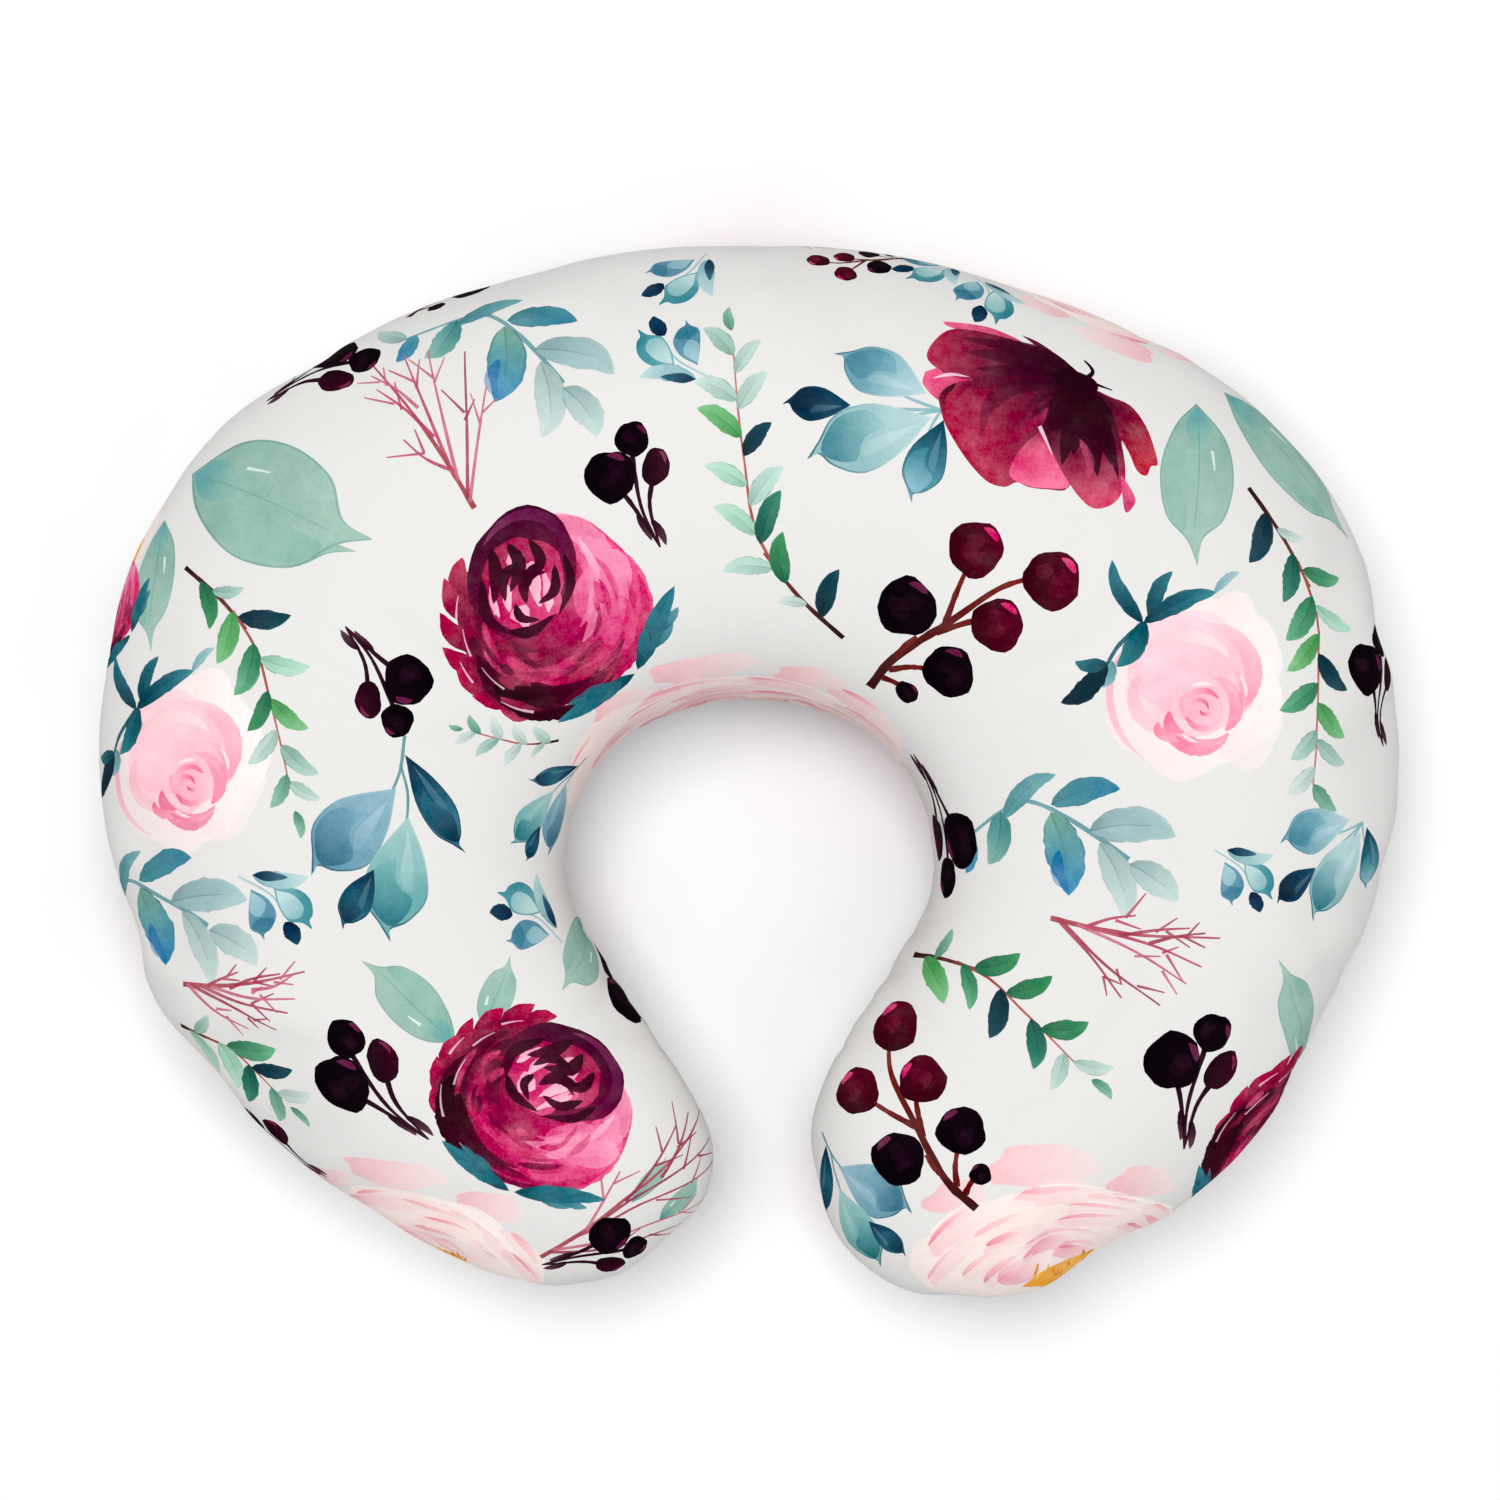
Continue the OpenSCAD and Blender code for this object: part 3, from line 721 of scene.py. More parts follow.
def rose(p):
    """A round burgundy rose with a dark cup, smooth pink outer petals and ragged tips."""
    r = p.rng
    p.blob(1, -2, 40, 43, 0, 0.02, "7a1238", "dc3c76", 1, None, 44, 3, (-26, -14), (34, 10))
    for a, far in ((146, 45), (160, 48), (178, 47), (196, 48), (209, 46), (226, 48), (241, 45)):
        p.swell(np.vstack([arc(0, -2, 27, 29, a + 44, a + 30, 2), arc(0, -2, 41, 43, a + 13, a + 11, 1),
                           arc(0, -2, far, far, a, a, 1)]), r.uniform(9, 14), "4a0a24", "b81f4e", 1,
                None, 7)
    rings(p, ((1, -3, 31, 34, -78, 84, 9), 24, "c4245e", "ea6496", 1),
          ((4, -1, 34, 37, -50, 58, 8), 13, "cc2a64", "ee5c94", 0.9),
          ((-2, 8, 27, 32, -14, 94, 8), 12, "f08cb0", "f5a5c1", 0.75),
          ((2, 0, 39, 41, -46, 24, 7), 5, "a81850", "d8346e", 0.9))
    p.blob(23, 10, 11.5, 17, -24, 0.05, "e65c90", "f5a0c0", 0.75, 0.85, 26, 3, (12, 0), (30, 26))
    p.blob(29, -6, 9, 12, 10, 0.08, "ea6e9c", "dc4a80", 0.6, None, 22)
    p.swell([(12, 32), (19, 18), (18, 2), (13, -8)], 4, "f9c2d6", "ee86ac", 0.85, 0.6, 6)
    rings(p, ((-4, 3, 24, 27, -40, 56, 7), 6, "f4a9c2", "ea749e", 0.6),
          ((0, -3, 32, 34, 196, 326, 9), 23, "7c1438", "ba2858", 1),
          ((1, -4, 35, 37, 204, 334, 9), 14, "400820", "6b1034", 0.95),
          ((-2, -2, 24, 25, 190, 324, 8), 10, "9c1a46", "d4427a", 0.95),
          ((2, -4, 37, 39, 226, 318, 8), 13, "26040f", "3c0820", 1),
          ((-3, 0, 20, 21, 205, 340, 7), 8, "5a0e2e", "a82050", 0.95))
    for _ in range(60):
        a, q = r.uniform(165, 375), r.uniform(0.4, 1.0)
        dark = a < 332
        c = r.choice(("3a0820", "5a0e2e", "8a163e", "e0507e", "a01c48", "c42c5c") if dark else
                     ("b81f58", "f08cb0", "f6a9c4", "d83a74"))
        span = r.uniform(16, 44)
        p.swell(arc(r.uniform(-3, 3), -2, 40 * q, 42 * q, a, a + span, 5), r.uniform(1.5, 5), c, None,
                r.uniform(0.4, 0.9), r.uniform(0.1, 0.6), 4)
    p.blob(-12, 17, 23, 28, -18, 0.03, "3a0a26", "7a1642", 1, None, 34, 2, (-30, 38), (4, 0))
    p.swell(arc(-12, 18, 19, 24, 30, 170, 8, -18), 5, "5a1c46", "8c3a68", 0.7)
    p.blob(-12, 12, 17, 21, -14, 0.05, "9c1c4a", "cc3a70", 1, None, 30, 2, (-24, 24), (0, 2))
    p.blob(-9, 6, 13, 15, -10, 0.1, "c02c60", "de5488", 0.9, None, 22)
    for x, y, rx, ry, t in ((-7, 13, 3, 10, 14), (-19, 8, 2.2, 8, 16), (-12, -2, 4, 5, 40),
                            (-1, 8, 2, 9, 8), (-15, 22, 4, 3, 30), (-24, 4, 1.6, 7, 14)):
        p.blob(x, y, rx, ry, t, 0.15, "f4a8c2", "f9cad8", 0.9, None, 14)
    for pts, w in (([(-25, 27), (-23, 15), (-24, 3)], 6), ([(-18, 29), (-13, 20), (-17, 8)], 6),
                   ([(-9, 31), (-4, 22), (-8, 13)], 5), ([(-13, 21), (-20, 14), (-19, 4)], 5),
                   ([(-5, 21), (-11, 12), (-10, 3)], 5.5), ([(2, 20), (2, 9), (-5, 3)], 4.5),
                   ([(-29, 14), (-27, -2), (-17, -10)], 5), ([(-18, -9), (-8, -9), (2, -2)], 5),
                   ([(-20, 17), (-10, 16), (-1, 17)], 3.4), ([(-15, 3), (-12, -3), (-4, -4)], 4),
                   ([(6, 25), (9, 12), (4, -2)], 4)):
        p.swell(pts, w, "2c0818", "4a0c28", 0.95, None, 6)
    p.swell(arc(3, -5, 32, 34, 236, 318, 8), 11, "26040f", "5a0e2e", 0.85, 0.6)
    for a, b, q, w in ((216, 238, 0.9, 0.9), (240, 262, 1.03, 1.3), (188, 206, 0.94, 0.9),
                       (206, 220, 1.07, 1.2), (282, 298, 1.0, 1.0), (168, 182, 1.0, 1.0)):
        p.stroke(arc(0, -2, 40 * q, 42 * q, a, b, 4), 0.3, w, "f9dce6", None, 0.75, None, 4)
    rose_leaf(p, 39, -29, 70, 42)
    rose_leaf(p, 38, -31, 211, 38)


def rose_leaf(p, x, y, turn, length):
    """A dark teal leaf with long barbs along its sides."""
    p.leaf(x, y, turn, length, length * 0.22, "1a5565", "2f7d8c", 0.97, 0.03, 0.5)
    for k, s, l in ((0.16, 1, 0.34), (0.24, -1, 0.4), (0.4, 1, 0.34), (0.46, -1, 0.36)):
        q = ray(turn) * length * k + (x, y)
        p.leaf(*q, turn + s * 19, length * l, length * 0.12, "1f6070", "2f7d8c", 0.95, 0.04 * s, 0, False,
               False)


def form(p, points, c0, c1=None, a0=0.95, a1=None, p0=None, p1=None):
    """A smooth closed patch of paint through the points."""
    p.fill(curve(list(points) + [points[0]], 4)[:-1], c0, c1, a0, a1, p0, p1)


def peony(p):
    """An open burgundy peony seen from its side, its petals hanging from a dark heart."""
    r = p.rng
    here = p.origin.copy()
    p.origin = p.to_flat([(20, 16)])[0]
    form(p, [(-60, 27), (-46, 26), (-37, 24), (-26, 18), (-40, 18), (-57, 24)], "ea6a90", "c23a62")
    form(p, [(-69, 2), (-58, 5), (-50, -1), (-56, -11), (-63, -11), (-70, -4)], "e8608c", "c83a66", 1)
    form(p, [(-26, 22), (-19, 19), (-10, 12), (0, 2), (-8, 6), (-17, 14)], "4a0c28", "7a1636")
    form(p, [(0, 1), (-11, 13), (-26, 18), (-42, 22), (-56, 23), (-64, 17), (-68, 9), (-63, 3),
             (-52, -1), (-26, -2)], "3a0a22", "b83a56", 1, None, (-20, 6), (-68, 10))
    for x0, y0, x1, y1, x2, y2, w in ((-2, 2, -22, 13, -54, 19, 7), (-4, 2, -24, 9, -52, 12, 9),
                                      (-3, 4, -18, 14, -38, 19, 5), (-6, 1, -24, 4, -48, 4, 6)):
        p.swell([(x0, y0), (x1, y1), (x2, y2)], w, "2a0618", "4a0c28", 0.95, 0.55, 6)
    form(p, [(0, 0), (-22, 2), (-46, -1), (-57, -3), (-63, -9), (-62, -18), (-57, -28), (-50, -38),
             (-43, -45), (-36, -47), (-31, -45), (-26, -47), (-18, -48), (-9, -47), (-6, -30)],
         "54102c", "ac2c4a", 1, None, (-12, -4), (-48, -32))
    form(p, [(-20, -22), (-30, -32), (-34, -42), (-26, -46.5), (-18, -47.5), (-9, -46.5), (-13, -34)],
         "d8406c", "f06c96", 0.9, 0.95, (-24, -26), (-20, -46))
    form(p, [(-44, -8), (-57, -10), (-59, -20), (-52, -32), (-44, -40), (-40, -26)], "9c2846",
         "b83a58", 0.8, 0.6, (-44, -14), (-52, -32))
    for pts, w in (([(-2, -1), (-24, 1), (-44, -2), (-56, -5)], 7), ([(-56, -3), (-62, -9), (-61, -17)], 3),
                   ([(-4, -2), (-28, -3), (-42, -12), (-46, -26)], 7),
                   ([(-6, -4), (-18, -12), (-24, -26)], 9), ([(-4, -3), (-16, -8), (-30, -16)], 8)):
        p.swell(pts, w, "2a0618", "5a0e2e", 0.9, 0.35, 6)
    for _ in range(9):
        a, q = r.uniform(190, 238), r.uniform(34, 50)
        p.swell([ray(a) * q * 0.35, ray(a + 2.3) * q * 0.7, ray(a) * q], r.uniform(2, 5),
                r.choice(("6b1030", "8a1a3c", "d04470")), None, 0.4, 0.1, 4)
    form(p, [(2, -2), (10, -6), (19, -10), (25, -20), (28, -30), (29, -37), (26, -38), (24, -42),
             (20, -40), (15, -30), (9, -18)], "5a0e2c", "b8283e", 1, None, (4, -4), (24, -36))
    for x, y in ((24, -30), (20, -33), (26, -25)):
        p.swell([(6, -6), (x * 0.6, y * 0.5), (x, y)], 3, "3a0a22", "7a1434", 0.6, 0.2, 5)
    form(p, [(0, 0), (9, -10), (13, -24), (15, -40), (13, -50), (8, -55), (1, -56), (-5, -51),
             (-11, -42), (-16, -32), (-20, -22), (-12, -10)], "2a0618", "cc4464", 1, None, (0, -14),
         (2, -52))
    form(p, [(13, -42), (16, -46), (19, -53), (15, -58), (13.5, -52)], "ea6090", "c8406c")
    for x, y, w in ((-17, -24, 12), (-12, -38, 8), (-7, -34, 8), (3, -43, 8), (9, -38, 8), (12, -44, 5),
                    (-2, -30, 10)):
        p.swell([(-1, -2), (x * 0.6, y * 0.5), (x, y)], w, "24050f", "3a0a20", 1, 0.85, 6)
    p.swell([(-4, -26), (0, -36), (-1, -44)], 4, "f06c96", None, 0.5, 0.2, 5)
    p.stroke([(14, -27), (17, -34), (19, -41)], 0.4, 1.6, "f4e6ea", None, 0.9, None, 4)
    p.stroke([(-21, -21), (-18, -28), (-16, -33)], 1.8, 0.4, "f7dfe8", None, 0.85, None, 4)
    p.swell([(-66, -1), (-58, 1), (-50, 0)], 1.4, "f7dfe8", None, 0.8, None, 4)
    form(p, [(-8, 7), (4, 2), (5, -4), (-4, -6), (-14, 2)], "200512", "2a0618", 1)
    p.stroke([(0, 1), (4, 5), (3.4, 8), (1, 11)], 2.4, 1.0, "240614", None, 1, None, 4)
    p.stroke([(1, 1), (6, -1), (12, -3)], 2.0, 0.6, "240614", None, 1, None, 4)
    p.origin = here


def pale_rose(p):
    """A washed blush rose with a deeper swirl and a teal calyx."""
    r = p.rng
    for x, y, rx, ry, c, a in ((6, 2, 33, 36, "f5dfdf", 0.75), (12, 12, 26, 25, "f6e2e1", 0.7),
                               (-4, -6, 32, 31, "f7e0e0", 0.7), (20, -10, 17, 24, "f3d8d8", 0.5),
                               (18, 31, 9, 10, "f6e3e0", 0.8)):
        p.blob(x, y, rx, ry, r.uniform(-20, 20), 0.05, c, "faf0ef", a, None, 30, 4)
    p.swell(arc(-2, -2, 33, 33, 150, 238, 7), 3.2, "f2a0b4", "f6c4cc", 0.8)
    p.blob(-3, 10, 24, 23, 0, 0.04, "ffc0d0", "ffd8e0", 0.95, None, 30, 3, (-10, -12), (12, 26))
    p.blob(-1, 4, 27, 26, 0, 0.05, "ffd2dc", "fcaec0", 0.6, None, 30, 3, (-20, 20), (22, -14))
    rings(p, ((2, 6, 24, 21, -50, 85, 8), 8, "fb9fb8", "ffc9d4", 0.85),
          ((-4, 8, 21, 14, 20, 160, 8), 5, "fae0e2", "f7c4cc", 0.9),
          ((-5, -3, 20, 17, 150, 265, 7), 6, "ffb9c8", "f9d2d6", 0.85),
          ((4, -12, 14, 13, 170, 330, 8), 8, "ee7a9c", "f59cb4", 0.95),
          ((6, -8, 13, 13, -50, 80, 7), 6, "f08aa8", "f7b0c0", 0.95))
    p.blob(5, -8, 10, 9, 0, 0.1, "fda8be", "ffc6d2", 0.95, None, 18)
    for cx, cy, rx, ry, a, b, w, c in (
            (5, -8, 8, 7, 30, 190, 2.6, "ec7296"), (5, -9, 8, 8, 200, 330, 2.8, "e8688e"),
            (3, -9, 4.5, 4, 0, 200, 2, "e8688e"), (12, -8, 8, 10, -60, 70, 2.4, "f08aa8"),
            (-7, -16, 8, 5, 160, 330, 4.5, "f0809e"), (14, 0, 7, 9, -40, 110, 2.2, "f49cb2"),
            (4, -18, 12, 6, 200, 340, 2.6, "ea6f93"), (6, -9, 2.4, 2, 180, 380, 1.4, "d8557e")):
        p.swell(arc(cx, cy, rx, ry, a, b, 5), w, c, "ffc1ce", 0.95, 0.7, 4)
    for cx, cy, rx, ry, a, b in ((5, -8, 11, 10, 70, 120), (5, -12, 12, 11, 220, 262),
                                 (10, -2, 13, 12, -10, 40)):
        p.swell(arc(cx, cy, rx, ry, a, b, 4), 1.6, "fde9ea", None, 0.8, None, 4)
    for dx, dy, turn, length, wide, c0, c1 in (
            (0, 0, 116, 30, 7, "0f3d4f", "2f7d8c"), (3, 2, 65, 22, 7, "124656", "2f7480"),
            (0, 0, 23, 34, 8, "0f3d4f", "3f8a94"), (30, 13, 38, 15, 4, "7fb0b8", "a9ccd0"),
            (1, 1, 238, 23, 9, "145060", "2f8088"), (-13, -16, 250, 12, 6, "5f9aa4", "8fbabd"),
            (-15, -17, 221, 26, 9, "16323f", "0f2834"), (-15, -17, 178, 14, 6, "1c4a58", "2f7480")):
        p.leaf(dx - 21, dy + 27, turn, length, wide, c0, c1, 0.95, 0.08, 0.3)
    p.stroke([(-21, 27), (-31, 18), (-36, 10)], 2.4, 1.4, "1c5562", None, 0.9)


def pale_peony(p):
    """Layers of thin blush petals fanned above an orange heart at the near edge."""
    r = p.rng
    for x, y, rx, ry, t in ((-12, 60, 24, 9, 4), (34, 50, 16, 8, -8), (-48, 46, 14, 7, 14)):
        p.blob(x, y, rx, ry, t, 0.1, "f4b6bd", "f9dcdb", 0.85, 0.6, 26)
    for x, y, rx, ry in ((0, 14, 58, 34), (-44, 10, 24, 24), (38, 12, 26, 20), (0, 36, 40, 14)):
        p.blob(x, y, rx, ry, 0, 0.05, "f9e6e0", "fbefe9", 0.85, None, 34, 3)
    for k in range(6, 0, -1):
        rx, ry = 9 + 8.6 * k, 6 + 6.6 * k
        n = 2 + k // 2
        for j in range(n):
            a = 90 + (j - (n - 1) / 2) * 150 / n + r.uniform(-7, 7)
            half = 78 / n + 9
            c = r.choice(("f8cdd0", "f9dcd8", "f6bfc6", "faded8")) if k > 2 else \
                r.choice(("f2a0b2", "f4adba", "ee8aa2"))
            x, y, tilt = r.uniform(-9, 9), r.uniform(-5, 3), r.uniform(-13, 13)
            wide = r.uniform(8, 15)
            p.swell(arc(x, y, rx, ry, a + half, a - half, 7, tilt), wide, c, "fbece6", 0.85, 0.7, 5,
                    r.uniform(-0.4, 0.4))
            p.swell(arc(x, y, rx + wide * 0.3, ry + wide * 0.3, a + half * 0.8,
                        a - half * r.uniform(-0.2, 0.6), 6, tilt), r.uniform(1.8, 4.4),
                    r.choice(("ee7f93", "f093a6", "ea7690", "f4a8b4")), "f8c4ca", 0.9, 0.35, 5)
            if r.random() < 0.45:
                p.stroke(arc(x, y, rx + wide * 0.45, ry + wide * 0.45, a + half * 0.5, a - half * 0.5, 5,
                             tilt), 1.0, 0.3, "fdf7f3", None, 0.8, None, 4)
    p.blob(3, -1, 19, 8, 6, 0.12, "f0a030", "f7c060", 0.95, None, 24)
    for k in range(20):
        x, y = r.uniform(-14, 20), r.uniform(-5, 5)
        p.stroke([(x, y), (x + r.uniform(-2, 3), y + r.uniform(3, 6))], 1.7, 0.9,
                 r.choice(("e08a20", "f7c468", "d87a28", "f0a84a")), None, 0.9, None, 2)


def berry(p, x, y, size, dark):
    """One round berry, near black or deep red, with a glint."""
    c0, c1 = ("060106", "10030c") if dark else ("34020f", "54061f")
    p.blob(x, y, size, size * 1.04, 0, 0.045, c0, c1, 1, None, 24, 3)
    for _ in range(3):
        p.blob(x + p.rng.uniform(-0.4, 0.4) * size, y + p.rng.uniform(-0.4, 0.4) * size, size * 0.34,
               size * 0.28, 0, 0.15, "761432" if not dark else "2c0a22", None, 0.35, None, 10)
    t = p.rng.uniform(30, 75)
    p.swell(arc(x, y, size * 0.84, size * 0.84, t - 26, t + 26, 5), size * 0.26,
            "e0407c" if not dark else "6a2048", None, 0.9, None, 3)


def cluster(p):
    """Three plum berries on short dark stems."""
    for x, y, w in ((-8, 2, 3), (0, 14, 2.2), (9, 4, 2.6)):
        p.stroke([(x, y), (x * 0.4 + 4, -9), (12, -26)], w, 0.8, "230a1c", "3d1626", 1)
    berry(p, -9, 4, 10.8, True)
    berry(p, 0, 20, 7.2, True)
    p.blob(10, 8, 5.8, 8.4, -10, 0.04, "1c0612", "38081f", 1, None, 20)
    p.swell(arc(10, 8, 4, 7, 20, 90, 4, -10), 1.6, "8a3058", None, 0.8, None, 3)
    for q in ((2, -12), (8, -14)):
        p.leaf(*q, 300, 13, 3.6, "230a1c", "3d1626", 1, 0.05, 0, False, False)


def berry_branch(p):
    """Five round berries on red-brown stems."""
    stem = "5a1c1c"
    p.stroke([(-42, -34), (-30, -18), (-6, -1), (14, 13), (28, 18)], 4.2, 2, "3a1414", "7a2a26", 1)
    for a, b in (((-8, -2), (1, 21)), ((-12, -6), (16, 2)), ((-30, -18), (-20, -8)),
                 ((-33, -24), (-16, -22)), ((-36, -28), (-25, -34))):
        p.stroke([a, ((a[0] + b[0]) / 2, (a[1] + b[1]) / 2 + 1), b], 3, 2, stem, "7a2a26", 1)
    for x, y, s, d in ((5, 30, 11.5, False), (37, 17, 12, False), (14, -2, 11, False),
                       (-24, 5, 12.5, True), (-7, -23, 11, True), (-26, -34, 5, True)):
        berry(p, x, y, s, d)


def teal_leaf(p, x, y, turn, length, width, c0, c1, pool, alpha=0.92):
    """A drop-shaped leaf with a darker facet near its curled tip."""
    d, s = turned(turn).T

    def at(u, v):
        return d * length * u + s * width * v + (x, y)

    left = curve([at(0, 0), at(0.3, 0.36), at(0.62, 0.52), at(0.84, 0.3), at(0.93, 0.06), at(1.03, 0.1)], 4)
    right = curve([at(1.03, 0.1), at(0.9, -0.12), at(0.72, -0.42), at(0.4, -0.42), at(0, 0)], 4)
    shape, mid = np.vstack([left, right[1:-1]]), at(0.5, 0)
    p.fill(shape, shaded(pool, 0.784), c0, alpha, None, at(1, 0), at(0.3, 0))
    p.fill(mid + (shape - mid) * 0.955, c0, c1, alpha, None, at(0.05, 0), at(0.7, 0.1))
    p.fill(curve([at(0.35, -0.06), at(0.55, 0.02), at(0.66, 0.3), at(0.82, 0.22), at(0.9, 0.0),
                  at(0.72, -0.36), at(0.48, -0.36), at(0.35, -0.06)], 4), pool, c1, 0.88, 0.6,
           at(0.85, 0), at(0.4, 0))
    p.fill(curve([at(0.12, 0.04), at(0.36, 0.2), at(0.6, 0.28), at(0.5, 0.06), at(0.12, 0.04)], 4),
           "ffffff", None, 0.22, 0.1)


def trio(p):
    """Three drop-shaped teal leaves and a small navy one on one stalk."""
    p.stroke([(4, 46), (2, 32), (-2, 22)], 1.6, 1.2, "5f8c98", None, 0.9)
    p.stroke([(2, 34), (5, 20), (2, 4), (-12, -12)], 1.3, 1, "4f8a92", None, 0.85)
    teal_leaf(p, 0, 24, 222, 50, 30, "8fb4c2", "6f9db0", "35697f")
    teal_leaf(p, 5, 12, 258, 52, 28, "9fc6c4", "6fabac", "1f6a76")
    teal_leaf(p, 4, 38, 300, 48, 15, "0c3048", "2f6f84", "0c2c44", 0.97)
    teal_leaf(p, -10, -10, 240, 28, 14, "10344c", "1f5f74", "0c2c40", 0.97)


def small_leaves(p):
    """A tight spray of little drop-shaped leaves with darker facets, two of them navy."""
    p.stroke([(18, -11), (4, -3), (-3, 8)], 1.1, 0.6, "b4ccd2", "7fb0b8", 0.9)
    form(p, [(3, -6), (-7, -5.5), (-12.5, -1), (-13.5, 5), (-12, 8), (-13, 11.5), (-9, 9), (-3, 8),
             (1, 2)], "2f7f8c", "6fa9b0", 0.95, None, (-13, 2), (3, 2))
    form(p, [(2, -5), (-5, -3), (-9.5, 2), (-8, 6.5), (-3, 7), (0.5, 1.5)], "8fbcc0", "c9dfdc", 0.9,
         None, (-9, 4), (0, -3))
    form(p, [(12.5, -5.5), (5.5, -1.5), (2, 5), (4, 11), (7, 13.5), (7, 16), (9, 13.5), (13, 11),
             (13.5, 3)], "5f93a8", "4b8299", 0.95, None, (12, -5), (6, 14))
    form(p, [(12.5, -4.5), (6.5, 0), (8.5, 6), (13, 4)], "b4d2d8", "8fb9c4", 0.8)
    form(p, [(9, 6.5), (3, 7), (4.5, 11), (7.5, 13), (12.3, 10.5)], "2f6f88", "3f7c92", 0.8)
    p.leaf(-1.5, 8.5, 118, 11, 7, "0c2440", "16425c", 0.97, 0.06, 0.3, False)
    p.leaf(12, -11.5, 178, 24, 7.5, "7fb0b8", "b9d4d6", 0.92, -0.1, 0, False)
    form(p, [(12, -11.5), (7, -9), (1, -9.2), (-3, -10.5), (2, -12.5), (7, -13.2)], "0c2440", "1f4f66",
         0.95, 0.75, (12, -11), (-3, -11))


def spray(p):
    """Four teal leaves fanned to the left of their hub."""
    for tip in ((-30, 14), (-48, 1), (-24, -6), (-8, -16)):
        p.stroke([(0, 0), (tip[0] * 0.5, tip[1] * 0.4), tip], 1.4, 1, "7fb0b8", None, 0.85, None, 4)
    teal_leaf(p, -6, 7, 152, 42, 24, "b4d0d6", "6fa4b2", "3f7f94", 0.92)
    teal_leaf(p, -38, 2, 176, 28, 15, "16465e", "0f3048", "0c2438", 0.97)
    teal_leaf(p, -4, -3, 196, 54, 29, "b9d4d6", "8fbabd", "2f7484", 0.92)
    teal_leaf(p, 1, -4, 246, 37, 18, "0f4054", "4f8fa0", "8fbac6", 0.95)


def stem_at(line, k):
    """A point of a stem at share k of its length, with its direction in degrees."""
    i = min(int(k * (len(line) - 1)), len(line) - 2)
    d = line[i + 1] - line[i]
    return line[i], math.degrees(math.atan2(d[1], d[0]))


GREENS = (("2a7050", "3f8f5a"), ("4f9a56", "7fc08a"), ("9fd0b4", "b9dccb"), ("16323f", "1f4a58"),
          ("4fa05a", "7fbf86"), ("1f5a50", "3f8a72"), ("a9cfc0", "c4ded4"), ("2f7a55", "6fb58a"))
PALES = (("a9c9bd", "c4d9d0"), ("8fb8a8", "b4d2c6"), ("5f9a84", "8fbfa8"), ("b9d0c8", "d4e2dc"))


def sprig(p, length, bow=0.13, size=1.0, greens=GREENS):
    """A leafy sprig along +x, pale at its tip, on a red-brown stem."""
    r = p.rng
    pairs = max(4, round(length / 19 / size))
    line = curve([(0, 0), (length * 0.33, length * bow), (length * 0.68, length * bow * 0.6),
                  (length, 0)], 12)
    p.stroke([line[0], line[len(line) // 6], line[len(line) // 3]], 2.3 * size, 1.2 * size, "2a1418",
             "8a4a3c", 1)
    p.stroke(line[len(line) // 4::6], 1.3 * size, 0.7, "9a4a40", "c0705c", 0.95, None, 3)
    for k in range(pairs):
        at = 0.12 + 0.84 * k / (pairs - 0.5)
        for s in (1, -1):
            q, turn = stem_at(line, min(at + (0.03 if s > 0 else -0.015), 0.99))
            c0, c1 = r.choice(PALES if at > 0.72 or (k == 0 and s > 0) else greens)
            l = size * r.uniform(20, 25) * (1 - 0.3 * max(0, at - 0.5) * 2)
            l *= 0.62 if k == 0 and s > 0 else 1
            p.stroke([q, q + ray(turn + s * 40) * 3], 0.8, 0.6, "7a4a40", None, 0.9, None, 2)
            p.leaf(*q, turn + s * r.uniform(36, 66), l, l * r.uniform(0.34, 0.42), c0, c1, 0.93,
                   s * -0.08, 0.35)
    p.leaf(*line[-1], stem_at(line, 1)[1], 12 * size, 4.5 * size, "5f9a84", "8fbfa8", 0.9)


def eucalyptus(p):
    """A teal branch with broad leaves that pales towards its end; one leaf is blue."""
    line = curve([(-50, -3), (-30, 4), (-14, 8), (0, 0), (17, -18), (29, -33)], 6)
    p.stroke(line[::4], 1.2, 2.2, "6f9fa4", "5f949c", 0.9, None, 3)
    for x, y, turn, l, w, c0, c1, a in (
            (-46, -2, 148, 20, 8, "9fc0bc", "b4d0cc", 0.75), (-42, 0, 244, 16, 8, "5fa0b0", "2f7fae", 0.9),
            (-24, 6, 238, 23, 12, "3f8a8c", "8fb8ae", 0.9), (-24, 3, 22, 31, 8, "4f9098", "6fa4a8", 0.9),
            (12, -12, -20, 37, 15, "8fb4b8", "a9c6c8", 0.75),
            (15, -18, 272, 34, 13, "a9c6c4", "c4d8d4", 0.7),
            (25, -30, 304, 26, 13, "9fc0c0", "c4d8d4", 0.7), (-1, 3, -3, 31, 11, "4f9098", "2f7a98", 0.9)):
        p.leaf(x, y, turn, l, w, c0, c1, a, 0.1, 0.3)
    p.leaf(-2, 0, 267, 36, 17, "7fb09c", "2f7fb4", 0.95, 0.08, 0.25)
    p.swell([(-3, -16), (-6, -26), (-3, -34)], 6, "1f5f9c", None, 0.6, 0.3)


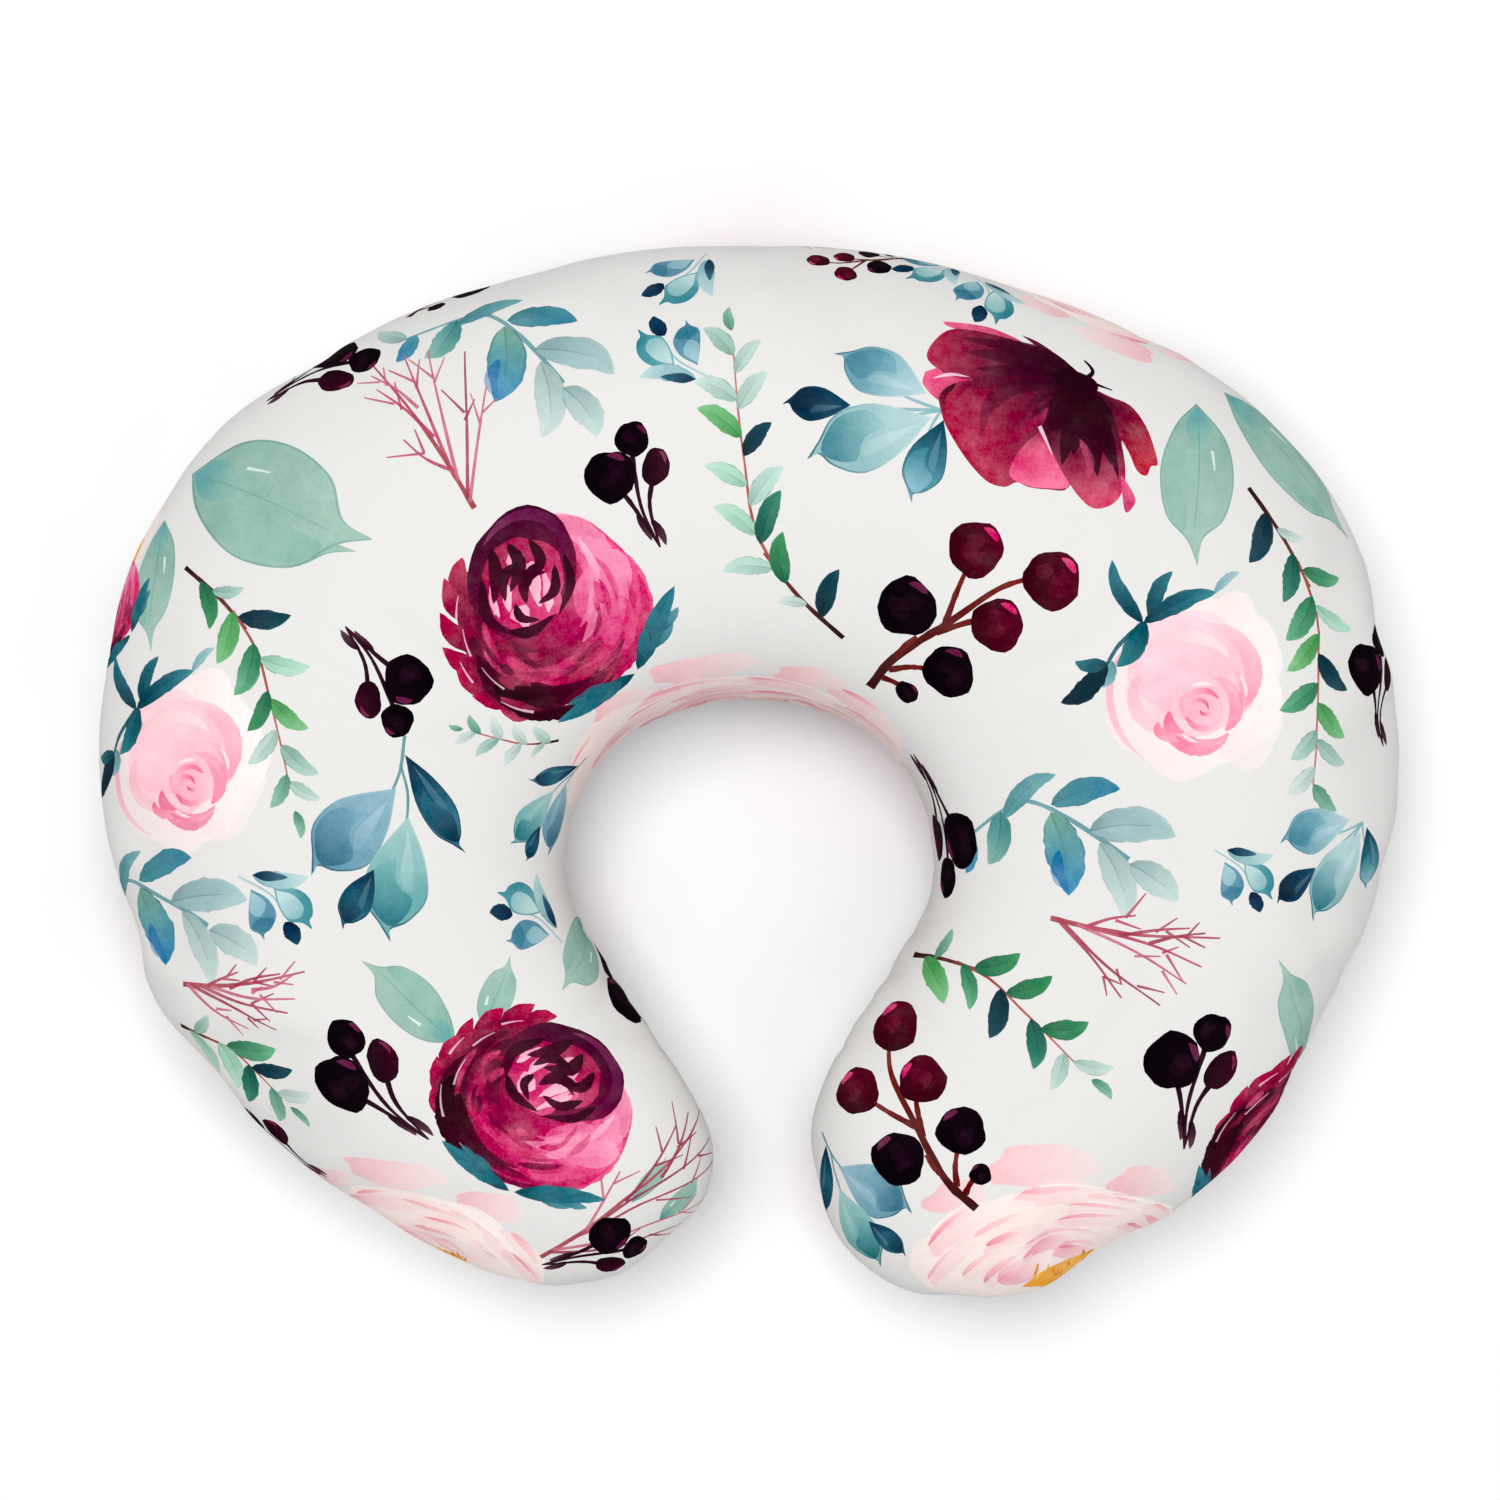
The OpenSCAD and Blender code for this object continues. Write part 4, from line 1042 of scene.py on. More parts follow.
def twig(p, length, spread=1.0):
    """A coral-like twig of thin red lines that fan out from its foot."""
    r = p.rng
    red = ("b85068", "a8485a", "c46a80", "9c4252")
    p.stroke([(0, 0), (length * 0.3, 1), (length * 0.62, 4 * spread), (length, 10 * spread)], 2.4, 0.8,
             "a0484e", "b85a70", 0.95)
    for a, f, l in ((-26, 0.06, 0.78), (-14, 0.16, 0.74), (-36, 0.04, 0.6), (-5, 0.26, 0.68),
                    (20, 0.42, 0.42), (28, 0.22, 0.3), (24, 0.6, 0.34)):
        a *= spread
        q = np.array([length * f, 0.5])
        branch, across = ray(a) * l * length, ray(a + 90)
        bow, c = r.uniform(-2, 2), r.choice(red)
        p.stroke([q, q + branch * 0.5 + across * bow, q + branch], 1.7, 0.7, c, None, 0.9)
        for s in (1, -1):
            b = q + branch * r.uniform(0.45, 0.8)
            side = ray(a + s * r.uniform(24, 42)) * length * r.uniform(0.1, 0.2)
            p.stroke([b, b + side], 1.3, 0.6, c, None, 0.85, None, 3)


def sage(p, length, width):
    """One wide sage leaf along +x with a curled tip and a teal pool at its stalk."""
    up = curve([(0, 0), (0.2, 0.38), (0.45, 0.5), (0.7, 0.4), (0.84, 0.14), (1.0, 0.1)], 6)
    down = curve([(1.0, 0.1), (0.86, -0.06), (0.72, -0.36), (0.45, -0.47), (0.18, -0.3), (0, 0)], 6)
    shape, mid, m = np.vstack([up, down[1:-1]]), np.array([0.48, 0.0]), np.array([length, width])
    p.fill(shape * m, "5f9488", "7fa99c", 0.84, None, (0, 0), (length, 0))
    p.fill((mid + (shape - mid) * 0.965) * m, "90b7aa", "a8c6b8", 0.8, None, (0, 0), (length, 0))
    p.fill(curve([(0.02, 0), (0.14, 0.2), (0.3, 0.12), (0.34, -0.04), (0.16, -0.16), (0.02, 0)], 5) * m,
           "3f93a4", "8fc0b8", 0.85, 0.1, (0, 0), (length * 0.34, 0))
    p.fill(curve([(0.3, -0.06), (0.5, -0.1), (0.8, -0.1), (0.7, -0.33), (0.4, -0.4), (0.3, -0.06)], 5) * m,
           "6fa89c", "a4cabc", 0.45, 0.2, (length * 0.8, 0), (length * 0.3, 0))
    p.stroke([(0.03 * length, 0), (0.4 * length, 0.03 * width), (0.8 * length, 0.02 * width)], 1.1, 0.4,
             "6fa094", None, 0.5)
    p.stroke([(0.3 * length, 0.2 * width), (0.42 * length, 0.24 * width)], 1.6, 0.6, "e4efe9", None, 0.8)


def put(p, motif, *places):
    """Paints a motif at places: x, y, turn, size, flip, and its shift where it runs over the edge."""
    for place in places:
        x, y, turn, size, flip, dx, dy = place + (0, 1, False, 0, 0)[len(place) - 2:]
        p.place(x, y, turn, size, flip)
        p.origin = p.origin + (dx, dy)
        motif(p)


def run_motif(p, motif, *lines):
    """Paints a motif from one point to another, with the rest of its measures."""
    for x0, y0, x1, y1, *rest in lines:
        d = p.panel.spot(x1, y1) - p.panel.spot(x0, y0)
        p.place(x0, y0, math.degrees(math.atan2(d[1], d[0])))
        motif(p, float(np.hypot(*d)), *rest)


def lay_out(p):
    """The print of the upper panel, as it lies seen from above."""
    put(p, pale_peony, (135, -216, 0, 1, False, 0, -4), (-141, -209, -8, 0.92, False, 0, -4),
        (-6, 36, 4, 0.9, False, 0, -26), (150, 203, 160, 0.8, False, 8, 18),
        (-262, 98, 60, 0.6, False, -20, 0))
    put(p, pale_rose, (194, 38), (-251, 4, 4, 0.98))
    run_motif(p, sage, (-244, 118, -174, 95, 30), (-245, 132, -168, 98, 55), (196, 163, 193, 92, 34),
              (208, 168, 262, 102, 34), (-129, -118, -169, -80, 23), (-117, -112, -104, -80, 15),
              (238, -130, 234, -80, 22), (-66, -56, -84, -93, 22), (-257, 112, -265, 54, 22),
              (-40, -196, -22, -176, 12), (-52, -188, -36, -168, 9))
    put(p, eucalyptus, (-106, 197), (134, -16, 17), (-267, -49, 22))
    run_motif(p, sprig, (41, 60, -8, 195), (-248, 91, -200, -16), (219, 126, 246, -16),
              (72, -79, 150, -134), (-250, -110, -202, -146), (-84, 15, -126, 20, 0.06, 0.55, PALES))
    run_motif(p, twig, (-121, 117, -158, 186), (132, -63, 204, -82), (-249, -92, -196, -96, 0.9),
              (-92, -212, -18, -152, 0.9))
    put(p, trio, (-155, -31), (44, -190, 20, 0.8, True), (-90, -14, -60, 0.55, True))
    put(p, spray, (84, 160), (269, -21, 42, 0.82))
    put(p, small_leaves, (-29, 218, 97, 1.05), (-36, 185), (-206, -56, 180), (219, -44, 176, 0.85),
        (-97, -60, 110, 1, True), (80, 222, 80), (106, 210, 130))
    put(p, peony, (128, 158))
    put(p, rose, (-88, 72, 0, 0.98), (-92, -146, -77, 0.93), (229, -156, -95, 1, False, 13, -10),
        (-268, 80, 0, 0.6, False, -27, 0))
    put(p, cluster, (-52, 127), (-160, 43, -166, 0.95), (-168, -138, 17, 1.12),
        (193, -134, -24, 1.12), (-51, -101, 20, 0.9), (86, -22, 180), (-66, -209, -100, 0.95),
        (276, 40, -10), (-188, 179, -84), (-210, -170, 40, 0.9))
    put(p, berry_branch, (94, 68), (72, -147, 84, 0.92), (47, 226, 160, 0.45))
    for spoke, turn, motif, measures in ((72, 5, twig, [BACK_TWIG]), (60, 20, berry_branch, []),
                                         (52, 200, trio, []), (96, 80, cluster, [])):
        p.place(sp.crown[spoke][0], 0, turn, SCATTER_SIZE, False, upper[2][spoke, BACK_ROW])
        motif(p, *measures)


# the motifs on the back's wall, which the camera doesn't see, and those on the underside
BACK_ROW, BACK_TWIG, SCATTER_SIZE, SCATTER_LENGTH = -4, 85, 0.85, 95
SCATTERED = (rose, sprig, trio, cluster, pale_rose, small_leaves, peony, spray, berry_branch, twig,
             eucalyptus)
MOUTH_HALF, MOUTH_TOP, UNDER_R, RIM_STEP = 105, 60, 235, 12


def lay_out_under(p):
    """The underside and its rim: the same motifs scattered freely."""
    spots = [(x, y, None) for x in (-200, -120, -40, 40, 120, 200) for y in (-120, -40, 40, 120)
             if (abs(x) > MOUTH_HALF or y > MOUTH_TOP) and math.hypot(x, y + 20) < UNDER_R]
    for q in range(0, sp.count, RIM_STEP):
        spots.append((sp.crown[q][0], 0, lower[2][q, -7 - (q // RIM_STEP) % 3]))
    for i, (x, y, flat) in enumerate(spots):
        p.place(x, y, p.rng.uniform(0, 360), SCATTER_SIZE, i % 2 == 0, flat)
        motif = SCATTERED[(i * 4) % len(SCATTERED)]
        motif(p, *([SCATTER_LENGTH] if motif in (sprig, twig) else []))


def cover_mesh(name, panel, art, material):
    """The printed panel as one mesh with its colours, its cloth grain and smooth normals."""
    verts, norms, tris, colours = paint(panel, art, rgb("e2e1df"))
    me = bpy.data.meshes.new(name)
    me.vertices.add(len(verts))
    me.vertices.foreach_set("co", (verts * MM).astype(np.float32).ravel())
    me.loops.add(len(tris) * 3)
    me.loops.foreach_set("vertex_index", tris.astype(np.int32).ravel())
    me.polygons.add(len(tris))
    me.polygons.foreach_set("loop_start", np.arange(0, len(tris) * 3, 3, dtype=np.int32))
    me.update(calc_edges=True)
    me.validate()
    me.polygons.foreach_set("use_smooth", [True] * len(me.polygons))
    ink = me.color_attributes.new("Print", "FLOAT_COLOR", "CORNER")
    rgba = np.concatenate([to_linear(colours[..., :3]), colours[..., 3:]], -1)
    ink.data.foreach_set("color", rgba.reshape(-1).astype(np.float32))
    me.normals_split_custom_set_from_vertices([tuple(v) for v in norms])
    me.materials.append(material)
    return add_object(name, me)


# ---------------------------------------------------------------- materials
class Nodes:
    """A node material, made step by step."""

    def __init__(self, name, **sockets):
        self.mat = bpy.data.materials.new(name)
        self.mat.use_nodes = True
        self.tree = self.mat.node_tree
        self.bsdf = self.tree.nodes["Principled BSDF"]
        for key, value in sockets.items():
            self.bsdf.inputs[key.replace("_", " ")].default_value = value

    def add(self, kind, inputs=(), **props):
        node = self.tree.nodes.new("ShaderNode" + kind)
        for key, value in props.items():
            setattr(node, key, value)
        for key, value in dict(inputs).items():
            if isinstance(value, bpy.types.NodeSocket):
                self.tree.links.new(value, node.inputs[key])
            else:
                node.inputs[key].default_value = value
        return node

    def link(self, socket, key):
        self.tree.links.new(socket, self.bsdf.inputs[key])

    def coords(self):
        return self.add("TexCoord").outputs["Object"]

    def noise(self, scale, detail, rough, vector):
        return self.add("TexNoise", {"Scale": scale, "Detail": detail, "Roughness": rough,
                                     "Vector": vector}).outputs["Fac"]

    def waves(self, scale, vector, axis):
        return self.add("TexWave", {"Scale": scale, "Distortion": 0.6, "Detail": 1.0, "Vector": vector},
                        wave_type="BANDS", bands_direction=axis).outputs["Fac"]

    def remap(self, value, a, b, c, d):
        return self.add("MapRange", {"Value": value, "From Min": a, "From Max": b, "To Min": c,
                                     "To Max": d}).outputs["Result"]

    def mix(self, fac, a, b, blend="MIX"):
        return self.add("Mix", {0: fac, 6: a, 7: b}, data_type="RGBA", blend_type=blend).outputs[2]

    def math(self, op, a, b=0.0):
        return self.add("Math", {0: a, 1: b}, operation=op).outputs[0]

    def two_tone(self, fac, colour, share):
        """The colour, mixed with a darker share of itself."""
        return self.mix(fac, (*colour, 1), (*[v * share for v in colour], 1))

    def bump(self, height, strength, distance):
        node = self.add("Bump", {"Strength": strength, "Distance": distance, "Height": height})
        self.link(node.outputs["Normal"], "Normal")


KNIT_DEPTH, GRAIN_DEPTH = 0.0004, 0.0001


def knit(n, scale, vector):
    """Fine knit or weave relief: crossed waves."""
    a = n.waves(scale, vector, "X")
    b, c = (n.waves(scale * 0.8, vector, axis) for axis in "YZ")
    return n.math("MULTIPLY", n.math("ADD", a, n.math("MULTIPLY", b, c)), 0.5)


def printed_fabric():
    """White knit with the print, whose inks vary in depth as watercolour does."""
    n = Nodes("printed_knit", Roughness=0.9, Specular_IOR_Level=0.02)
    ink = n.add("Attribute", attribute_name="Print")
    where = n.coords()
    wash = n.remap(n.noise(70, 5, 0.6, where), 0.3, 0.7, -0.11, 0.11)
    grain = n.remap(n.noise(900, 2, 0.6, where), 0.3, 0.7, -0.05, 0.05)
    pool = n.remap(n.noise(160, 3, 0.7, where), 0.35, 0.7, -0.05, 0.05)
    tone = n.math("ADD", wash, n.math("ADD", grain, pool))
    depth = n.remap(n.add("RGBToBW", {"Color": ink.outputs["Color"]}).outputs[0], 0.0, 0.9, 1.0, 0.12)
    amount = n.math("MULTIPLY", n.math("MULTIPLY", tone, depth), ink.outputs["Alpha"])
    value = n.add("HueSaturation", {"Color": ink.outputs["Color"], "Hue": 0.5,
                                    "Saturation": n.math("SUBTRACT", 1.0, amount),
                                    "Value": n.math("ADD", 1.0, n.math("MULTIPLY", amount, 1.3))})
    cloth = n.remap(n.noise(1500, 2, 0.5, where), 0.3, 0.7, 0.985, 1.0)
    n.link(n.mix(1.0, value.outputs["Color"], cloth, "MULTIPLY"), "Base Color")
    fuzz = n.math("MULTIPLY", n.noise(1200, 2, 0.5, where), 0.6)
    n.bump(n.math("ADD", knit(n, 420, where), fuzz), 0.25, KNIT_DEPTH)
    return n.mat


def plain_cloth(name, colour, scale, sheen, strength, rough):
    """Undyed cloth or thread, its weave at the scale given."""
    n = Nodes(name, Roughness=rough, Sheen_Weight=sheen, Sheen_Roughness=0.5, Specular_IOR_Level=0.25)
    where = n.coords()
    weave = knit(n, scale, where)
    tint = n.remap(n.noise(60, 4, 0.6, where), 0.3, 0.7, 0.93, 1.03)
    c = n.two_tone(n.remap(weave, 0.2, 0.8, 0.0, 0.35), colour, 0.82)
    n.link(n.mix(1.0, c, tint, "MULTIPLY"), "Base Color")
    n.bump(weave, strength, KNIT_DEPTH)
    return n.mat


def metal(name, colour, rough):
    """Metal with fine scratches."""
    n = Nodes(name, Metallic=1.0)
    where = n.coords()
    scratch = n.noise(2600, 3, 0.6, where)
    n.link(n.two_tone(n.noise(500, 3, 0.6, where), colour, 0.8), "Base Color")
    n.link(n.remap(scratch, 0.3, 0.7, rough - 0.06, rough + 0.1), "Roughness")
    n.bump(scratch, 0.12, GRAIN_DEPTH)
    return n.mat


def nylon(name, colour):
    """Smooth, slightly clear nylon."""
    n = Nodes(name, Roughness=0.38, Subsurface_Weight=0.15)
    where = n.coords()
    n.link(n.two_tone(n.noise(800, 2, 0.5, where), colour, 0.9), "Base Color")
    n.bump(n.noise(3000, 2, 0.5, where), 0.15, GRAIN_DEPTH)
    return n.mat


M_PRINT = printed_fabric()
# plain cloths: colour, weave's scale, sheen, relief and roughness
M_CASING = plain_cloth("casing_weave", (0.90, 0.90, 0.885), 700, 0.2, 0.35, 0.88)
M_FIBRE = plain_cloth("fibre_fluff", (0.93, 0.93, 0.915), 150, 0.6, 0.9, 0.95)
M_THREAD = plain_cloth("sewing_thread", (0.86, 0.85, 0.82), 2600, 0.3, 0.5, 0.7)
M_TAPE = plain_cloth("herringbone_tape", (0.86, 0.85, 0.83), 1500, 0.15, 0.6, 0.8)
M_LABEL = plain_cloth("satin_label", (0.90, 0.90, 0.88), 1900, 0.5, 0.15, 0.45)
M_COIL = nylon("nylon_coil", (0.88, 0.88, 0.86))
M_STOP = metal("stamped_aluminium", (0.72, 0.73, 0.75), 0.34)
M_SLIDER = metal("nickel_plate", (0.74, 0.75, 0.77), 0.24)


# ---------------------------------------------------------------- the printed slipcover
def finish(ob, node, body="pillow"):
    """Puts an object in place of a CAD node, under the body given."""
    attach(ob, body)
    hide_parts(node)


for name, node, is_upper, design, seed in (
        ("slipcover_upper", "cover_top_panel", True, lay_out, 11),
        ("slipcover_lower", "cover_bottom_panel", False, lay_out_under, 12)):
    panel = Panel(upper if is_upper else lower, is_upper)
    art = Print(panel, seed)
    design(art)
    finish(cover_mesh(name, panel, art, M_PRINT), node)

# ---------------------------------------------------------------- zipper, casing and fill
ZIP_R = BACK_R - SEAM_INSET
SLIDER_AT, SLIDER_TRAVEL, SLIDER_LEN = 25.5, 48.0, 9.0
NOSE = math.degrees(SLIDER_LEN / 2 / ZIP_R) + 0.77
# the first and last angle of the chain and of the tapes
CHAIN = SLIDER_AT - SLIDER_TRAVEL - NOSE, SLIDER_AT + NOSE
TAPE = CHAIN[0] - 5.0, CHAIN[1] + 2.3
TAPE_FACE, TAPE_T, TAPE_H, TAPE_EDGE = -3.3, 0.5, 12.0, 0.6
COIL_R, COIL_Z, COIL_PITCH, COIL_WIRE = -2.58, 1.3, 1.25, 0.26
COIL_DEEP, COIL_TALL = 0.40, 0.66
STITCH_R, STITCH_Z, STITCH_PITCH = -2.85, 5.7, 3.1
LOOP_PITCH, LOOP_DEEP, LOOP_TALL, LOOP_THREAD = 2.6, 0.42, 0.85, 0.2


def on_track(angle, r, z):
    """Points at angles along the zipper's arc, r outside the seam and z above it."""
    a = np.radians(angle)
    return np.stack([(ZIP_R + r) * np.sin(a), TRACK_Y + (ZIP_R + r) * np.cos(a),
                     SEAM_Z + z + 0 * a], -1)


def tube(line, radius, sides=6, normal=None, closed=False):
    """A round cord along a line of points; the radius may change along it."""
    ahead = np.roll(line, -1, 0) - np.roll(line, 1, 0) if closed else np.gradient(line, axis=0)
    d = unit(ahead)
    n = np.cross(d, (0.0, 0.0, 1.0)) if normal is None else normal
    n = unit(n - (n * d).sum(1, keepdims=True) * d)
    t = np.linspace(0, 2 * np.pi, sides, endpoint=False)[None, :, None]
    rad = np.broadcast_to(radius, (len(line),))[:, None, None]
    return join(line[:, None] + rad * (n[:, None] * np.cos(t) + np.cross(d, n)[:, None] * np.sin(t)),
                closed)


def join(rings, closed=False):
    """Verts and faces of equal rings joined one after the other."""
    n, k = rings.shape[:2]
    i = np.arange(n if closed else n - 1)[:, None] * k
    j = np.arange(k)[None]
    after = (i + k) % (n * k)
    quads = np.stack([i + j, after + j, after + (j + 1) % k, i + (j + 1) % k], -1).reshape(-1, 4)
    faces = [tuple(q) for q in quads.tolist()]
    if not closed:
        faces += [tuple(range(k)), tuple(range(n * k - 1, n * k - k - 1, -1))]
    return rings.reshape(-1, 3), faces


def gather(parts):
    """Several verts-and-faces pairs as one."""
    verts, faces, n = [], [], 0
    for v, f in parts:
        verts.append(v)
        faces += [tuple(i + n for i in face) for face in f]
        n += len(v)
    return np.vstack(verts), faces


def piece(name, shape, material, node):
    """A finished piece of the pillow in place of a CAD node."""
    finish(new_object(name, sway(shape[0]) * MM, shape[1], material), node)


def coil(sign):
    """One half of the chain: a nylon helix along the track."""
    turns = int(math.radians(CHAIN[1] - CHAIN[0]) * ZIP_R / COIL_PITCH)
    t = np.linspace(0, 1, turns * 9)
    phase = 2 * np.pi * turns * t + (0 if sign > 0 else np.pi)
    angle = CHAIN[0] + (CHAIN[1] - CHAIN[0]) * t
    r, z = COIL_DEEP * np.cos(phase), COIL_TALL * np.sin(phase)
    line = on_track(angle, COIL_R + r, sign * (COIL_Z + z))
    out = np.stack([np.sin(np.radians(angle)), np.cos(np.radians(angle)), 0 * angle], -1)
    normal = out * np.cos(phase)[:, None] + np.array([0, 0, sign]) * np.sin(phase)[:, None]
    return tube(line, COIL_WIRE, 5, normal)


def tape(sign):
    """One woven tape, with fine ribs along it and a cord at its inner edge."""
    z = np.linspace(TAPE_EDGE, TAPE_EDGE + TAPE_H, 25)
    rib = 0.05 * (np.arange(25) % 2) + 0.1 * (z < TAPE_EDGE + 1)
    ring = np.concatenate([np.stack([TAPE_FACE - rib, z], -1),
                           np.stack([TAPE_FACE - TAPE_T + rib, z], -1)[::-1]])
    if sign < 0:
        ring = ring[::-1]
    angle = np.linspace(*TAPE, 220)
    past = np.maximum(angle - CHAIN[1], CHAIN[0] - 0.6 - angle)
    near = 0.5 * ease(past / 0.6)
    return join(np.stack([on_track(angle, r, sign * (h - near)) for r, h in ring], 1)[:, ::-1])


def stitches(sign):
    """A row of separate stitches along the tape."""
    step = math.degrees(STITCH_PITCH / ZIP_R)
    sunk, thick = np.array([0.2, 0.05, 0, 0, 0.05, 0.2]), np.array([0.1, 0.26, 0.32, 0.32, 0.26, 0.1])
    shapes = []
    for a in np.arange(CHAIN[0] - 2.4, CHAIN[1] - step / 2, step):
        angle = np.linspace(a - step * 0.42, a + step * 0.42, len(sunk))
        shapes.append(tube(on_track(angle, STITCH_R - sunk, sign * STITCH_Z), thick))
    return gather(shapes)


def overlock(inset, spokes, closed):
    """Looped thread wound around the raw edges of two seam allowances, past the spokes given."""
    k = np.array(spokes)
    at = (sp.crown + sp.dir * (sp.w - inset - 0.6)[:, None])[k]
    run = np.concatenate([[0], np.cumsum(np.hypot(*np.diff(at, axis=0).T))])
    turns = int(run[-1] / LOOP_PITCH)
    t = np.linspace(0, run[-1], turns * 8, endpoint=not closed)
    centre, out = (np.stack([np.interp(t, run, v[:, i]) for i in (0, 1)], -1) for v in (at, sp.dir[k]))
    phase = 2 * np.pi * turns * t / run[-1]
    cos, sin = np.cos(phase)[:, None], np.sin(phase)
    line = np.column_stack([centre + out * LOOP_DEEP * cos, SEAM_Z + LOOP_TALL * sin])
    return tube(line, LOOP_THREAD, 4, np.column_stack([out * cos, sin]), closed)


SOFTENED = 0.6


def shell(is_upper, outer, inner):
    """A sewn panel of some thickness, with the cover's wrinkles softened onto it."""
    move_crown, move_rows = WRINKLES[0 if is_upper else 1]
    surfaces = []
    for kw in (outer, inner):
        crown, rows, _ = layer(is_upper, **kw)
        rows = rows + move_rows * SOFTENED
        rows[..., 2] = np.maximum(rows[..., 2], kw["depth"])
        surfaces.append((crown + move_crown * SOFTENED, rows))
    verts = stacked(*surfaces)
    base = len(verts) // 2
    under = flipped(grid_faces(ROWS_ALL, base)[0] + rim_faces(ROWS_ALL, base))
    faces = grid_faces(ROWS_ALL)[0] + under
    return verts, faces if is_upper else flipped(faces)


def stuffing(kw):
    """The fill as one closed, slightly lumpy form."""
    verts = stacked(layer(True, **kw), layer(False, **kw))
    x, y, z = verts.T
    lumps = (np.sin(x / 17 + 2 * np.sin(y / 23)) * np.sin(y / 15 + 1.5 * np.sin(z / 19))
             + 0.5 * np.sin(x / 7 + y / 9) * np.sin(z / 8 - x / 11))
    inward = unit(verts - (0, 0, SEAM_Z))
    verts = verts - inward * (0.5 + 0.5 * lumps)[:, None].clip(0)
    verts[:, 2] = verts[:, 2].clip(kw["depth"])
    base = len(verts) // 2
    under = flipped(grid_faces(ROWS_ALL, base)[0] + rim_faces(ROWS_ALL, base))
    return verts, grid_faces(ROWS_ALL)[0] + under


def rounded(name, node, material, body="pillow", width=0.22):
    """A CAD node's own shape with its hard edges worn round."""
    src = nodes[node]
    verts = [src.matrix_world @ v.co for v in src.data.vertices]
    ob = new_object(name, verts, [tuple(p.vertices) for p in src.data.polygons], material, False)
    for kind, props in (("WELD", {"merge_threshold": 1e-6}),
                        ("BEVEL", {"width": width * MM, "segments": 2, "limit_method": "ANGLE",
                                   "angle_limit": math.radians(40), "use_clamp_overlap": True})):
        mod = ob.modifiers.new(kind, kind)
        for key, value in props.items():
            setattr(mod, key, value)
    dg = bpy.context.evaluated_depsgraph_get()
    me = bpy.data.meshes.new_from_object(ob.evaluated_get(dg))
    ob.modifiers.clear()
    ob.data = me
    me.shade_smooth()
    me.set_sharp_from_angle(angle=math.radians(50))
    finish(ob, node, body)


for sign, where in ((1, "upper"), (-1, "lower")):
    piece("chain_coil_" + where, coil(sign), M_COIL, "zipper_coil_" + where)
    piece("woven_tape_" + where, tape(sign), M_TAPE, "zipper_tape_" + where)
    piece("tape_seam_" + where, stitches(sign), M_THREAD, "zipper_stitching_" + where)
    rounded("end_stop_" + where, "zipper_top_stop_" + where, M_STOP)
rounded("joined_stop", "zipper_bottom_stop", M_STOP)
rounded("runner", "slider_body", M_SLIDER, "slider")
rounded("runner_arch", "slider_crown", M_SLIDER, "slider")
rounded("pull", "pull_tab", M_SLIDER, "pull")

COVER_T, COVER_GAP, CASING_T, SEAM_ROOM, ALLOWANCE, BEAD_T = 0.9, 2.3, 0.8, 7.0, 4.0, 1.2
BEAD_GAP, CASING_EDGE = 0.12, 0.15
casing_seam = SEAM_INSET + ALLOWANCE + 4 * BEAD_T + 0.5
casing_in = COVER_T + COVER_GAP
casing_out = dict(depth=casing_in, extra=SEAM_ROOM, inset=casing_seam, edge=CASING_EDGE)
casing_back = dict(depth=casing_in + CASING_T, extra=SEAM_ROOM, inset=casing_seam + CASING_T,
                   edge=CASING_EDGE + CASING_T)
fill_out = dict(depth=casing_in + CASING_T + 0.4, extra=SEAM_ROOM,
                inset=casing_seam + ALLOWANCE + 2 * BEAD_T + 0.3, edge=1.6)
for is_upper, name, node in ((True, "casing_upper", "casing_top_panel"),
                             (False, "casing_lower", "casing_bottom_panel")):
    piece(name, shell(is_upper, casing_out, casing_back), M_CASING, node)
piece("fibre", stuffing(fill_out), M_FIBRE, "fibre_fill")

